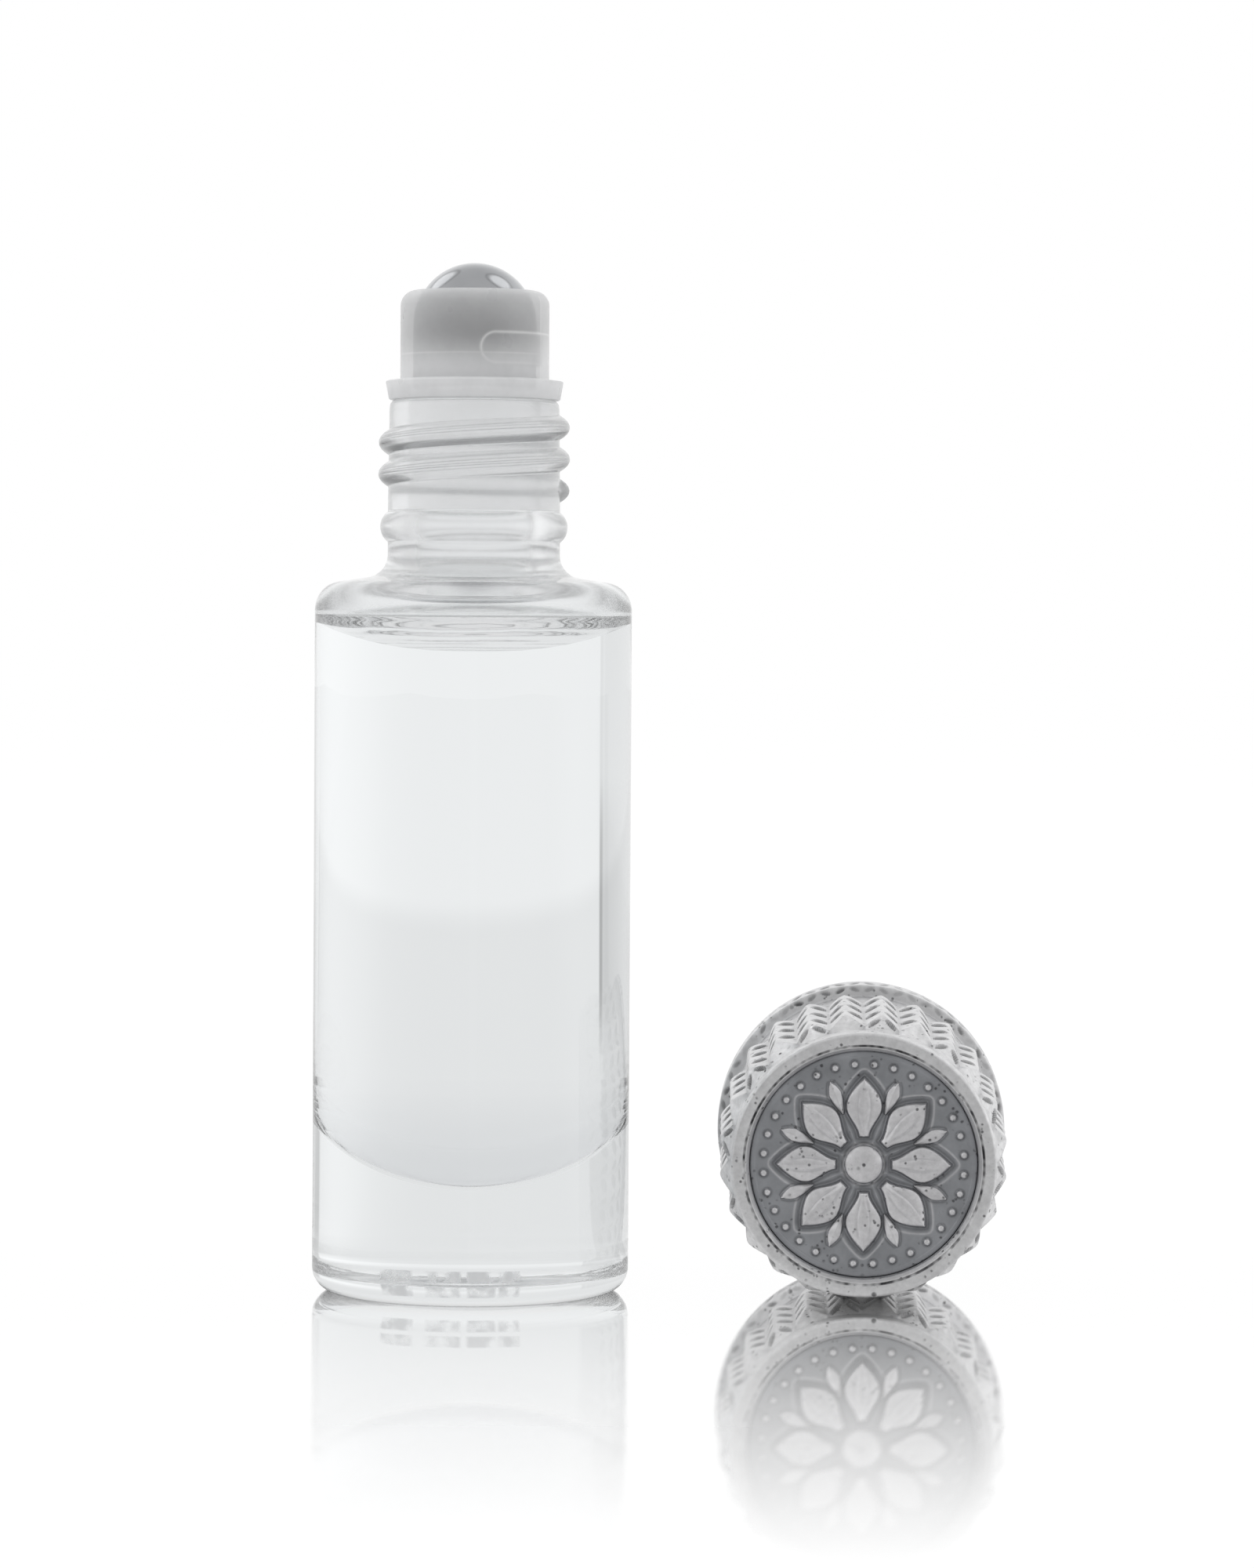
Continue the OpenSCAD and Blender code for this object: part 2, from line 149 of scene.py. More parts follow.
# Cap, in its own frame: open end at zero, face upwards
CAP_LEN = 23.08
LINER_R = 7.425
SHELL_BORE_R = LINER_R + 0.04
SHELL_PLATE_Z = 21.43
MEDALLION_Z = 21.88
BAND_R = SHELL_BORE_R + 1.6
RIM_R = BAND_R + 0.77
RIM_H = 3.2
RIM_EDGE = 0.3
RIM_SLOPE = 0.36
RING_R = BAND_R - 0.42
RING_H = 2.2
RING_EDGE = 0.25
RECESS_R = RING_R - 1.2
FACE_BEVEL = 0.36
SEAM = ((0.12, 0.0), (0.05, 0.03), (0.0, 0.12), (-0.05, 0.12), (-0.1, 0.08))  # outwards and down
SEAM_DARK_ROWS = slice(1, 4)

# Ribs of the cap. Places across a rib go from 0 at its crest to 1 at the valley beside it
RIBS = 24
RIB_Z0 = RIM_H + 3.7
RIB_Z1 = CAP_LEN - RING_H
RIB_OUT_RIM = 0.6
RIB_OUT_RING = 0.375
RIB_DEPTH = 0.6
RIB_LEAN = 1.0
RIB_END_H = 2.0
RIB_RIDGE = 0.12
RIB_FALL = 0.887
ARCH_H = 1.0
ARCH_SLOPE = 0.45
PLAITS = 3
SLOT_MIDDLE = 0.53
SLOT_REACH = 0.37
SLOT_HALF = 0.95
SLOT_SLOPE = 0.35
SLOT_DEPTH = 0.42
BAR_ROUND = 0.035
SHELL_COLUMNS = RIBS * 22
SHELL_STEP = 0.085

# The leaf-shaped pits: place on the rib's end, lean, half sizes and depth
PIT_AT = (0.46, 0.85)
PIT_HALF_PITCH = 1.07
PIT_LEAN = (-0.45, -0.893)
PIT_LONG = 0.85
PIT_WIDE = 0.15
PIT_DEPTH = 0.26

# The worn lozenges round the rim
RIM_MARKS = 60
RIM_MARK_SEED = 7
RIM_MARK_WEAR = 1.6
RIM_MARK_LEAN = 0.22
RIM_MARK_HALF = 0.36
RIM_MARK_DEPTH = 0.15

# How dark the painted shade and dirt make what is sunk in the cap
SLOT_DARK = 0.62
PIT_DARK = 0.6
VALLEY_DARK = 0.1
MARK_DARK = 0.85
SEAM_DARK = 0.6
SEAM_RAGGED = 0.25

# Medallion
MEDALLION_R = RECESS_R - 0.05
MEDALLION_T = 0.35
RELIEF_H = 0.6
BOSS_R = 1.3
BOSS_H = 0.45
BOSS_PIT_R = 0.16
PETALS = 8
PETAL_IN = BOSS_R + 0.45
PETAL_OUT = MEDALLION_R - 1.6
PETAL_W = 2.5
PETAL_ROOT_W = 0.8
PETAL_WIDE = 0.5
PETAL_POINT = 1.8
GROOVE_DEPTH = 0.05
OUTLINE_H = 0.05
OUTLINE_OFF = 0.42
LEAF_IN = 3.5
LEAF_OUT = 5.9
LEAF_W = 1.25
LEAF_WIDE = 0.6
DOTS = 32
DOT_R = 0.26
DOT_RING_R = MEDALLION_R - 0.85
EDGE_STEP_W = 0.36
EDGE_STEP_H = 0.06

# Pad in the liner
PAD_R = 6.585
PAD_ROUND = 0.12
PAD_Z = 20.1
PAD_TOP_Z = 20.9
PAD_BALL_Z = 16.5
PAD_DIMPLE_A = math.acos((PAD_Z - PAD_BALL_Z) / BALL_R)


def rib_crest(z):
    """Radius of the ribs' crests at height z."""
    return BAND_R + RIB_OUT_RIM + (RIB_OUT_RING - RIB_OUT_RIM) * (z - RIB_Z0) / (RIB_Z1 - RIB_Z0)


# The cap's rest: on its rim and on the ends of two ribs
RIM_CONTACT_Z = RIM_H - RIM_EDGE
RIB_CONTACT_Z = RIB_Z1 - RIB_END_H
RIB_CONTACT_R = rib_crest(RIB_CONTACT_Z) * math.cos(math.pi / RIBS)
CAP_TILT = math.atan((RIM_R - RIB_CONTACT_R) / (RIB_CONTACT_Z - RIM_CONTACT_Z))
CAP_YAW = math.radians(1.9)
CAP_GAP = 6.2
CAP_FACE_Y = -8.4
CAP_AT = Vector((
    BODY_R + CAP_GAP + RIM_R,
    CAP_LEN * math.cos(CAP_YAW) * math.cos(CAP_TILT) + CAP_FACE_Y,
    RIM_R * math.cos(CAP_TILT) + RIM_CONTACT_Z * math.sin(CAP_TILT)))
CAP_FRAME = (Matrix.Translation(CAP_AT * MM) @ Matrix.Rotation(-CAP_YAW, 4, "Z")
             @ Matrix.Rotation(math.pi / 2 + CAP_TILT, 4, "X"))


# Shapes

def unit(t):
    """Keeps numbers from 0 to 1."""
    return np.clip(t, 0.0, 1.0)


def ease(t):
    """Eases from 0 to 1."""
    t = unit(t)
    return t * t * (3 - 2 * t)


def soft_line(off, width):
    """1 on a line and less with the distance from it."""
    return np.exp(-(off / width) ** 2)


def arc(x, z, r, a0, a1, steps):
    """Points of an arc in the profile plane."""
    return [(x + r * math.cos(math.radians(a)), z + r * math.sin(math.radians(a)))
            for a in np.linspace(a0, a1, steps + 1)]


def line(a, b, steps):
    """Points from a to b, without b."""
    return [(a[0] + (b[0] - a[0]) * i / steps, a[1] + (b[1] - a[1]) * i / steps)
            for i in range(steps)]


def spread(profile, columns):
    """Radius and height of a profile's points, repeated round the axis."""
    r, z = np.array(profile, dtype=float).T
    return r[:, None] * np.ones(columns), z[:, None] * np.ones(columns)


def round_axis(columns, like=1.0):
    """Equal steps round the axis, in the shape of a grid."""
    return np.linspace(0, TURN, columns, endpoint=False)[None, :] * np.ones_like(like)


def round_grid(r, z, angle):
    return r * np.cos(angle), r * np.sin(angle), z


def turned(profile, columns, shift=None):
    """Grid of points of a turned shape. shift(r, z, angle) moves the radius of its points."""
    r, z = spread(profile, columns)
    angle = round_axis(columns, r)
    if shift is not None:
        r = r + shift(r, z, angle)
    return round_grid(r, z, angle)


def with_ends(value):
    """A grid's numbers in the order of its points, with one point for each end row."""
    return np.concatenate([value[0, :1], value[1:-1].ravel(), value[-1, :1]])


def band(a, b, columns):
    """Faces between two rows of points, whose first points are number a and number b."""
    return [(a + j, a + (j + 1) % columns, b + (j + 1) % columns, b + j) for j in range(columns)]


def grid_piece(name, grid, place=None, part_of_row=lambda row: 0, values=None):
    """A closed piece from rows of points that run round an axis, its first and last row on it.

    part_of_row gives the material slot of the faces between a row and the next, and values
    are named numbers for each point, which the materials read.
    """
    rows, columns = grid[0].shape
    starts = 1 + columns * np.arange(rows - 2)
    faces = [(0, 1 + (j + 1) % columns, 1 + j) for j in range(columns)]
    for a, b in zip(starts[:-1], starts[1:]):
        faces += band(a, b, columns)
    faces += [(a, b, starts[-1] + columns) for a, b, _, _ in band(starts[-1], 0, columns)]
    slots = [part_of_row(i) for i in range(rows - 1) for _ in range(columns)]
    points = np.stack([with_ends(value) for value in grid], axis=-1)
    flat = {key: with_ends(value) for key, value in (values or {}).items()}
    return new_piece(name, points, faces, slots, flat, place)


def ring_piece(name, grid, part_of_row, values):
    """A closed ring-shaped piece: the last row of points joins the first."""
    rows, columns = grid[0].shape
    faces = [face for i in range(rows) for face in band(i * columns, (i + 1) % rows * columns, columns)]
    slots = [part_of_row(i) for i in range(rows) for _ in range(columns)]
    points = np.stack([value.ravel() for value in grid], axis=-1)
    return new_piece(name, points, faces, slots, {key: value.ravel() for key, value in values.items()})


def new_object(name, data):
    """A new object in the scene."""
    thing = bpy.data.objects.new(name, data)
    bpy.context.scene.collection.objects.link(thing)
    return thing


def new_piece(name, points, faces, slots, values, place=None):
    """A smooth piece whose faces look out of the solid."""
    mesh = bpy.data.meshes.new(name)
    mesh.from_pydata(points * MM, [], faces)
    for key, value in values.items():
        layer = mesh.attributes.new(key, "FLOAT", "POINT")
        layer.data.foreach_set("value", value.astype(np.float32))
    mesh.polygons.foreach_set("material_index", slots)
    mesh.polygons.foreach_set("use_smooth", [True] * len(faces))
    if place is not None:
        mesh.transform(place)
    mesh.update()
    solid = bmesh.new()
    solid.from_mesh(mesh)
    if solid.calc_volume(signed=True) < 0:
        bmesh.ops.reverse_faces(solid, faces=solid.faces)
        solid.to_mesh(mesh)
    solid.free()
    mesh.update()
    return new_object(name, mesh)


def dress(piece, materials, body, node):
    """Gives a piece its materials and its body, and hides the CAD node that it stands for."""
    for material in materials:
        piece.data.materials.append(material)
    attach(piece, body)
    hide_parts(node)


# Materials

class Nodes:
    """A node tree, with short names for the nodes used here."""

    def __init__(self, tree):
        self.tree = tree

    def feed(self, socket, value):
        """Links a socket, or sets it to a number, a colour or a direction. None leaves it alone."""
        if isinstance(value, tuple):
            socket.default_value = (*value, 1.0)[:len(socket.default_value)]
        elif isinstance(value, (int, float)):
            socket.default_value = value
        elif value is not None:
            self.tree.links.new(value, socket)

    def add(self, kind, *values, **named):
        """A new shader node. Plain values go to its sockets in order. A name that starts with
        a capital is a socket too, and any other name is a setting."""
        node = self.tree.nodes.new("ShaderNode" + kind)
        for key, value in named.items():
            if key[0].islower():
                setattr(node, key, value)
        for socket, value in zip(node.inputs, values):
            self.feed(socket, value)
        for key, value in named.items():
            if key[0].isupper():
                self.feed(node.inputs[key.replace("_", " ")], value)
        return node

    def noise(self, scale, detail=3.0, roughness=0.5):
        return self.add("TexNoise", Vector=self.place, Scale=scale, Detail=detail,
                        Roughness=roughness, Distortion=0.0).outputs["Fac"]

    def span(self, value, low, high, to_low=0.0, to_high=1.0, curve="LINEAR"):
        """Carries the stretch from low to high over to another one."""
        return self.add("MapRange", interpolation_type=curve, Value=value, From_Min=low,
                        From_Max=high, To_Min=to_low, To_Max=to_high).outputs["Result"]

    def smooth(self, value, low, high, to_low=0.0, to_high=1.0):
        return self.span(value, low, high, to_low, to_high, "SMOOTHSTEP")

    def maths(self, operation, a, b=0.0):
        return self.add("Math", a, b, operation=operation).outputs[0]

    def times(self, a, b):
        return self.maths("MULTIPLY", a, b)

    def plus(self, a, b):
        return self.maths("ADD", a, b)

    def most(self, a, b):
        return self.maths("MAXIMUM", a, b)

    def vector(self, operation, *values):
        return self.add("VectorMath", *values, operation=operation).outputs

    def mix(self, factor, a, b):
        """Colour a, or b where factor is 1."""
        return self.add("Mix", data_type="RGBA", Factor=factor, A=a, B=b).outputs["Result"]

    def pick(self, choice, a, b):
        """Number a, or b where choice is 1."""
        return self.add("Mix", Factor=choice, A=a, B=b).outputs["Result"]

    def blend(self, factor, a, b):
        """Shader a, or b where factor is 1."""
        return self.add("MixShader", factor, a.outputs[0], b.outputs[0])

    def value(self, name):
        """A named number of the mesh's points."""
        return self.add("Attribute", attribute_name=name).outputs["Fac"]

    def bump(self, height, strength, distance, under=None, invert=False):
        return self.add("Bump", invert=invert, Strength=strength, Distance=distance,
                        Height=height, Normal=under).outputs["Normal"]


class Material(Nodes):
    """A new material on one Principled shader, with noise in the object's own place."""

    def __init__(self, name):
        self.material = bpy.data.materials.new(name)
        self.material.use_nodes = True
        super().__init__(self.material.node_tree)
        self.shader = self.tree.nodes["Principled BSDF"]
        self.out = self.tree.nodes["Material Output"]
        self.place = self.add("TexCoord").outputs["Object"]

    def set(self, **values):
        for key, value in values.items():
            self.feed(self.shader.inputs[key.replace("_", " ")], value)


def toned(colour, factor):
    """A colour made brighter or darker."""
    return tuple(c * factor for c in colour)


def clear_material(name, ior, colour=WHITE, wave=0.0, roughness=0.0, deep=None):
    """Clear glass. With wave it has the faint waves of a fire-polished surface and frosted marks,
    and with deep its colour changes over the mesh's depth."""
    n = Material(name)
    n.set(Base_Color=colour, Roughness=roughness, IOR=ior, Transmission_Weight=1.0)
    if deep:
        n.set(Base_Color=n.mix(n.value("depth"), colour, deep))
    if wave:
        n.set(Normal=n.bump(n.noise(320, 2.0), wave, 0.00006))
        marks = n.times(n.value("frosted"), n.span(n.noise(900), 0.35, 0.6))
        n.set(Roughness=n.times(marks, FROST_ROUGH), Base_Color=n.mix(marks, colour, FROST))
    return n.material


def liquid_material(name, ior):
    """The liquid's free surface, with faint rings round the axis as a small knock leaves them."""
    n = Material(name)
    rings = n.add("TexWave", wave_type="RINGS", rings_direction="Z", Vector=n.place,
                  Scale=290, Distortion=1.6, Detail=1.5, Detail_Scale=1.2)
    n.set(Base_Color=LIQUID_TINT, Roughness=0.1, IOR=ior, Transmission_Weight=1.0,
          Normal=n.bump(rings.outputs["Fac"], 1.0, 0.00005))
    return n.material


def unseen_material(name):
    """For a face in full contact with another, which alone bends the light."""
    n = Material(name)
    n.set(Base_Color=WHITE, Alpha=0.0)
    return n.material


def moulded_roughness(n, roughness):
    """The slightly uneven gloss of moulded plastic."""
    return n.span(n.noise(500, 2.0), 0.0, 1.0, roughness - GLOSS_VARIES, roughness + GLOSS_VARIES)


def plastic_material(name, colour, roughness, speck=0.03):
    """Moulded plastic with faint flow marks."""
    n = Material(name)
    n.set(Base_Color=n.mix(n.noise(260, 4.0, 0.6), toned(colour, 1 - speck), colour),
          Roughness=moulded_roughness(n, roughness), IOR=PLASTIC_IOR)
    return n.material


def milky_material(name, colour, cloud, roughness):
    """Natural plastic: light goes straight through its wall, or the cloud in it scatters it.
    Moulded edges have pale lines painted on them as highlights, and are denser there, and the
    ball close behind the wall is a painted grey shade."""
    n = Material(name)
    flow = n.noise(260, 4.0, 0.6)
    tone = n.mix(flow, toned(colour, 0.96), colour)
    # Painted shade of the ball close behind the wall
    tone = n.mix(n.value("shade"), tone, toned(colour, 0.3))
    edge = n.value("edge_line")
    dense = n.span(flow, 0.3, 0.7, cloud * 0.92, cloud * 1.08)
    # Painted highlights: the wall goes to white along the edge lines
    n.set(Base_Color=n.mix(edge, tone, WHITE), Alpha=n.most(dense, edge),
          Roughness=moulded_roughness(n, roughness), IOR=PLASTIC_IOR)
    return n.material


def steel_material(name):
    """Polished steel with hair-fine scratches."""
    n = Material(name)
    n.set(Metallic=1.0, IOR=2.5, Base_Color=n.mix(n.noise(400), *STEEL_TONES),
          Roughness=n.span(n.noise(3000, 4.0), 0.3, 0.7, 0.06, 0.16))
    return n.material


def casting_pits(n, scale, size, rare):
    """Round pits of one size, in clusters."""
    cells = n.add("TexVoronoi", feature="F1", Vector=n.place, Scale=scale, Randomness=1.0)
    near = n.span(cells.outputs["Distance"], size / 2, size, 1.0, 0.0)
    return n.times(near, n.span(n.noise(scale / 2.5), rare, rare + 0.1))


def cast_material(name, high, low, deep):
    """Cast metal: bright where it is raised and rubbed, dark where it is sunk.

    The mesh gives two values: relief, 0 on the ground and 1 on raised work, and cavity,
    1 in slots and seams, which get painted shade and grime, darkest where the noise lets grime
    gather.
    """
    n = Material(name)
    patches = n.noise(420, 5.0, 0.65)
    grain = n.noise(2600, 4.0, 0.6)
    ground = n.mix(n.span(patches, 0.3, 0.7), toned(low, 1.08), toned(low, 0.8))
    raised = n.mix(n.span(grain, 0.3, 0.7), toned(high, 0.82), high)
    stains = n.span(n.noise(800, 4.0, 0.6), 0.5, 0.72, 0.0, 0.32)
    raised = n.mix(stains, raised, toned(high, 0.62))
    tone = n.mix(n.value("relief"), ground, raised)
    pits = n.most(casting_pits(n, 900, 0.2, 0.55), casting_pits(n, 2300, 0.3, 0.5))
    # Painted shade and dirt in the sunk places, patchy by noise
    sunk_shade_and_dirt = n.times(n.value("cavity"), n.span(n.noise(1500), 0.25, 0.6, 0.75, 1.0))
    dark = n.most(sunk_shade_and_dirt, n.times(pits, 0.75))
    rough = n.span(patches, 0.3, 0.7, 0.34, 0.5)
    soft = n.bump(n.noise(700, 4.0, 0.55), 0.35, 0.00008)
    fine = n.bump(grain, 0.25, 0.00003, soft)
    n.set(Metallic=1.0, Base_Color=n.mix(dark, tone, deep),
          Roughness=n.plus(rough, n.times(dark, 0.3)),
          Normal=n.bump(pits, 0.6, 0.00006, fine, invert=True))
    return n.material


GLASS_IOR = 1.5
LIQUID_IOR = 1.4
PLASTIC_IOR = 1.46
BOWL_RATIOS = (1.055, 1.042, 1.03)
BOWL_TINT = (0.87, 0.875, 0.885)
FROST = (0.6, 0.61, 0.62)
FROST_ROUGH = 0.5
LIQUID_TINT = (0.72, 0.725, 0.73)
GLOSS_VARIES = 0.08
STEEL_TONES = ((0.43, 0.44, 0.455), (0.53, 0.54, 0.555))

glass = clear_material("clear_glass", GLASS_IOR, (0.972, 0.992, 1.0), wave=0.02)
inner_glass = clear_material("moulded_inner_glass", GLASS_IOR, (0.985, 0.99, 0.992), roughness=0.2)
neck_glass = clear_material("moulded_neck_glass", GLASS_IOR, (0.98, 0.992, 1.0), roughness=0.19)
held_glass = unseen_material("glass_against_plug")
wet_glass = clear_material("glass_against_liquid", GLASS_IOR / LIQUID_IOR)
bowl_glass = [clear_material(f"bowl_against_liquid_{i + 1}", ratio, deep=BOWL_TINT)
              for i, ratio in enumerate(BOWL_RATIOS)]
liquid_top = liquid_material("liquid_surface", LIQUID_IOR)
liquid_side = unseen_material("liquid_against_glass")
cup_plastic = milky_material("cup_plastic", (0.82, 0.825, 0.835), 0.62, 0.3)
flange_plastic = milky_material("flange_plastic", (0.80, 0.805, 0.815), 0.8, 0.3)
plug_plastic = milky_material("plug_plastic", (0.96, 0.965, 0.975), 0.12, 0.35)
seat_plastic = plastic_material("white_plastic", (0.9, 0.9, 0.905), 0.4)
liner_plastic = plastic_material("liner_plastic", (0.86, 0.86, 0.85), 0.45)
pad_foam = plastic_material("foam_pad", (0.9, 0.9, 0.89), 0.8, speck=0.08)
steel = steel_material("polished_steel")
silver = cast_material("cast_silver", high=(0.86, 0.86, 0.868), low=(0.68, 0.68, 0.69),
                       deep=(0.07, 0.07, 0.075))
dark_silver = cast_material("cast_silver_dark", high=(0.82, 0.815, 0.83), low=(0.37, 0.38, 0.40),
                            deep=(0.1, 0.1, 0.105))


# Bottle

COLUMNS = 288

# Slots of the glass, in the order of its materials, and rows of the wet wall and each bowl part
OUTER_PART, WET_PART, HELD_PART, BOWL_PART = range(4)
INNER_PART = BOWL_PART + len(BOWL_RATIOS)
NECK_PART = INNER_PART + 1
WET_WALL_ROWS = 12
BOWL_PART_ROWS = 4
SAME = 0.01


def glass_profile():
    """The glass from the middle of its foot, over the outside and the lip, to the bowl."""
    ring_in = BODY_R - FOOT_R - FOOT_RING_W
    ring_edge = (ring_in - FOOT_RING_EDGE[0], FOOT_RING_EDGE[1])
    hollow_edge = (ring_in - FOOT_SLOPE_W, PUSHUP_EDGE_H)
    stand = BEAD_R - NECK_R
    bead_arc = (BEAD_HALF ** 2 + stand ** 2) / (2 * stand)
    bead_a = math.degrees(math.asin(BEAD_HALF / bead_arc))
    slope = [(r, BODY_H + rise) for r, rise in SHOULDER_SLOPE]
    neck_foot_z = BODY_H + SHOULDER_RISE + NECK_FILLET
    outside = [(0, PUSHUP_H)]
    outside += line((0.4, PUSHUP_H), hollow_edge, 30)
    outside += line(hollow_edge, ring_edge, 6)
    outside += [(ring_in, 0)]
    outside += arc(BODY_R - FOOT_R, FOOT_R, FOOT_R, -90, 0, 26)
    outside += line((BODY_R, FOOT_R + 0.06), (BODY_R, HEEL_TOP_Z), 16)
    outside += line((BODY_R, HEEL_TOP_Z + 1.4), (BODY_R, BODY_H - SHOULDER_R - 1), 8)
    outside += arc(BODY_R - SHOULDER_R, BODY_H - SHOULDER_R, SHOULDER_R, 0, 80, 14)
    outside += line(*slope, 3)
    outside += arc(NECK_R + NECK_FILLET, neck_foot_z, NECK_FILLET, 262, 184, 14)
    outside += arc(NECK_R + stand - bead_arc, BEAD_Z, bead_arc, -bead_a, bead_a, 22)
    outside += line((NECK_R, BEAD_Z + BEAD_HALF + 0.1), (LIP_R + 0.02, LIP_Z - 0.6), 160)
    outside += arc(LIP_R - LIP_ROUND, LIP_Z - LIP_ROUND, LIP_ROUND, 0, 90, 8)
    outside += [(BORE_R + out, LIP_Z - down) for out, down in LIP_EDGE]
    throat_z = CEILING_Z + THROAT_FILLET
    dry = line((BORE_R, LIP_Z - 1), (BORE_R, PLUG_END_Z), 6)
    dry += line((BORE_R, PLUG_END_Z), (BORE_R, throat_z), 6)
    dry += arc(BORE_R + THROAT_FILLET, throat_z, THROAT_FILLET, 180, 270, 12)
    dry += arc(CAVITY_R - CEILING_CORNER, CEILING_Z - CEILING_CORNER, CEILING_CORNER, 90, 0, 8)
    wet = line((CAVITY_R, LIQUID_EDGE_Z - LIQUID_GAP), (CAVITY_R, BASE_T + BOWL_H), 8)
    wet += bowl(CAVITY_R, BASE_T)
    return outside + dry, wet


def bowl(r, z):
    """The bottom of the cavity, a quarter of an ellipse."""
    return [(r * math.cos(a), z + BOWL_H * (1 - math.sin(a)))
            for a in np.linspace(0, math.pi / 2, BOWL_STEPS + 1)]


def thread_shift(r, z, angle):
    """How far the round thread stands out of the neck at each point."""
    out = np.zeros_like(z)
    first = ((np.degrees(angle) - THREAD_START) % 360) / 360
    for k in range(math.ceil(THREAD_TURNS)):
        t = first + k
        ends = ease(t / THREAD_RUN_IN) * ease((THREAD_TURNS - t) / THREAD_RUN_OUT)
        grow = THREAD_TIP + (1 - THREAD_TIP) * ends
        u = (z - THREAD_Z - THREAD_PITCH * t) / (THREAD_HALF * grow)
        bump = (THREAD_R - NECK_R) * grow * unit(1 - u * u) ** THREAD_ROUND
        out = np.maximum(out, np.where(t <= THREAD_TURNS, bump, 0))
    on_neck = (z > BEAD_Z + BEAD_HALF) & (z < LIP_Z - 0.5) & (r > BORE_R + 1)
    return np.where(on_neck, out, 0)


def frosted_marks(r, z, angle):
    """1 on the frosted marks."""
    frosted = np.zeros_like(r)
    for start, end in HEEL_MARKS:
        across = (np.degrees(angle) > start) & (np.degrees(angle) < end)
        for low, high in HEEL_ROWS:
            frosted[across & (z > low) & (z < high) & (r > CAVITY_R)] = 1.0
    return frosted


def make_glass():
    dry, wet = glass_profile()
    profile = dry + wet
    x, y, z = turned(profile, COLUMNS, thread_shift)
    r = np.hypot(x, y)
    angle = np.arctan2(y, x)
    bars = np.abs(((angle * STIPPLES / TURN) % 1) - 0.5) < STIPPLE_HALF
    bars &= (r > STIPPLE_RING[0]) & (r < STIPPLE_RING[1])
    bars &= (z < PUSHUP_H + 0.05) & (z > PUSHUP_H * 0.75)
    z = np.where(bars, z - STIPPLE_DEPTH, z)
    depth = np.where(r < CAVITY_R + SAME, ease((BASE_T + BOWL_H - z) / BOWL_H), 0)

    def part(row):
        (ra, za), (rb, zb) = profile[row], profile[row + 1]
        below_wall = row - len(dry) - WET_WALL_ROWS
        if below_wall >= 0:
            return BOWL_PART + min(below_wall // BOWL_PART_ROWS, len(BOWL_RATIOS) - 1)
        if row >= len(dry):
            return WET_PART
        wide, low, high = max(ra, rb), min(za, zb), max(za, zb)
        in_bore = wide < BORE_R + SAME and BASE_T < low and high < LIP_Z
        if in_bore and low > PLUG_END_Z - SAME:
            return HELD_PART
        in_shoulder = wide < CAVITY_R + SAME and BASE_T < low and high < BODY_H
        if in_bore or in_shoulder or high < PUSHUP_H + 0.05:
            return INNER_PART
        return NECK_PART if low > BODY_H + SHOULDER_RISE + 0.2 else OUTER_PART

    piece = grid_piece("glass_body", (x, y, z), part_of_row=part,
                       values={"frosted": frosted_marks(r, z, angle), "depth": depth})
    materials = [glass, wet_glass, held_glass, *bowl_glass, inner_glass, neck_glass]
    dress(piece, materials, "bottle", "glass_bottle")


def make_liquid():
    r = CAVITY_R - LIQUID_GAP
    steps = np.arange(MENISCUS_STEPS) / MENISCUS_STEPS
    top = [(r * t, LIQUID_EDGE_Z - MENISCUS_H * (1 - t ** MENISCUS_CURVE)) for t in steps]
    top += [(CAVITY_R + 0.02, LIQUID_EDGE_Z)]
    side = [(r, LIQUID_EDGE_Z - 0.03)] + bowl(r, BASE_T + LIQUID_GAP)
    piece = grid_piece("liquid_body", turned(top + side, 192),
                       part_of_row=lambda row: int(row >= len(top) - 1))
    dress(piece, [liquid_top, liquid_side], "bottle", "liquid_fill")


def pocket_distance(r, z, angle):
    """Distance to the outline of the pocket, which has round ends, negative inside it."""
    z0, z1 = POCKET_Z
    along = (np.degrees(angle) - POCKET_AZ[0] + 180) % 360 - 180
    length = POCKET_AZ[1] - POCKET_AZ[0]
    over = np.where(along < 0, -along, np.where(along > length, along - length, 0))
    return np.hypot(over * math.pi / 180 * r, z - (z0 + z1) / 2) - (z1 - z0) / 2


def pocket_shift(r, z, angle):
    """The shallow pocket in the cup's inner wall."""
    inside = np.abs(r - CUP_BORE_R) < 0.05
    depth = POCKET_DEPTH * ease(0.5 - pocket_distance(CUP_BORE_R, z, angle) / POCKET_SLOPE)
    return np.where(inside, depth, 0)


def painted_edge_highlights(r, z, angle):
    """Painted highlights on edges that show pale through the cup's wall: the pocket's, the
    seat's and the mould line's, a painted fill in the pocket towards its right end, and a
    painted pale band on the right of the mould line.
    """
    away = pocket_distance(CUP_R, z, angle)
    right = ease((np.degrees(angle) + 62) / 70)
    above = ease((z - POCKET_Z[0]) / 1.2)
    # Painted highlights: lines along the pocket, stronger higher up, and a fill inside it towards the
    # right
    pocket = (0.3 + 0.35 * above) * soft_line(away, POCKET_LINE_W) + 0.4 * right * ease(-away / 0.2)
    seat = 0.3 * soft_line(z - SEAT_TOP_Z, SEAT_LINE_W)
    mould = 0.4 * soft_line((angle - math.radians(MOULD_AZ)) * CUP_R, MOULD_LINE_W)
    # Painted highlight: a paler band on the right of the mould line
    beyond = 0.22 * ease((np.degrees(angle) - MOULD_AZ) / 2) * ease((90 - np.degrees(angle)) / 60)
    outer = (r > CUP_R - 0.3) & (z > FLANGE_TOP_Z) & (z < CUP_TOP_Z - 0.4)
    return np.where(outer, np.maximum(np.maximum(pocket, seat), mould + beyond), 0)


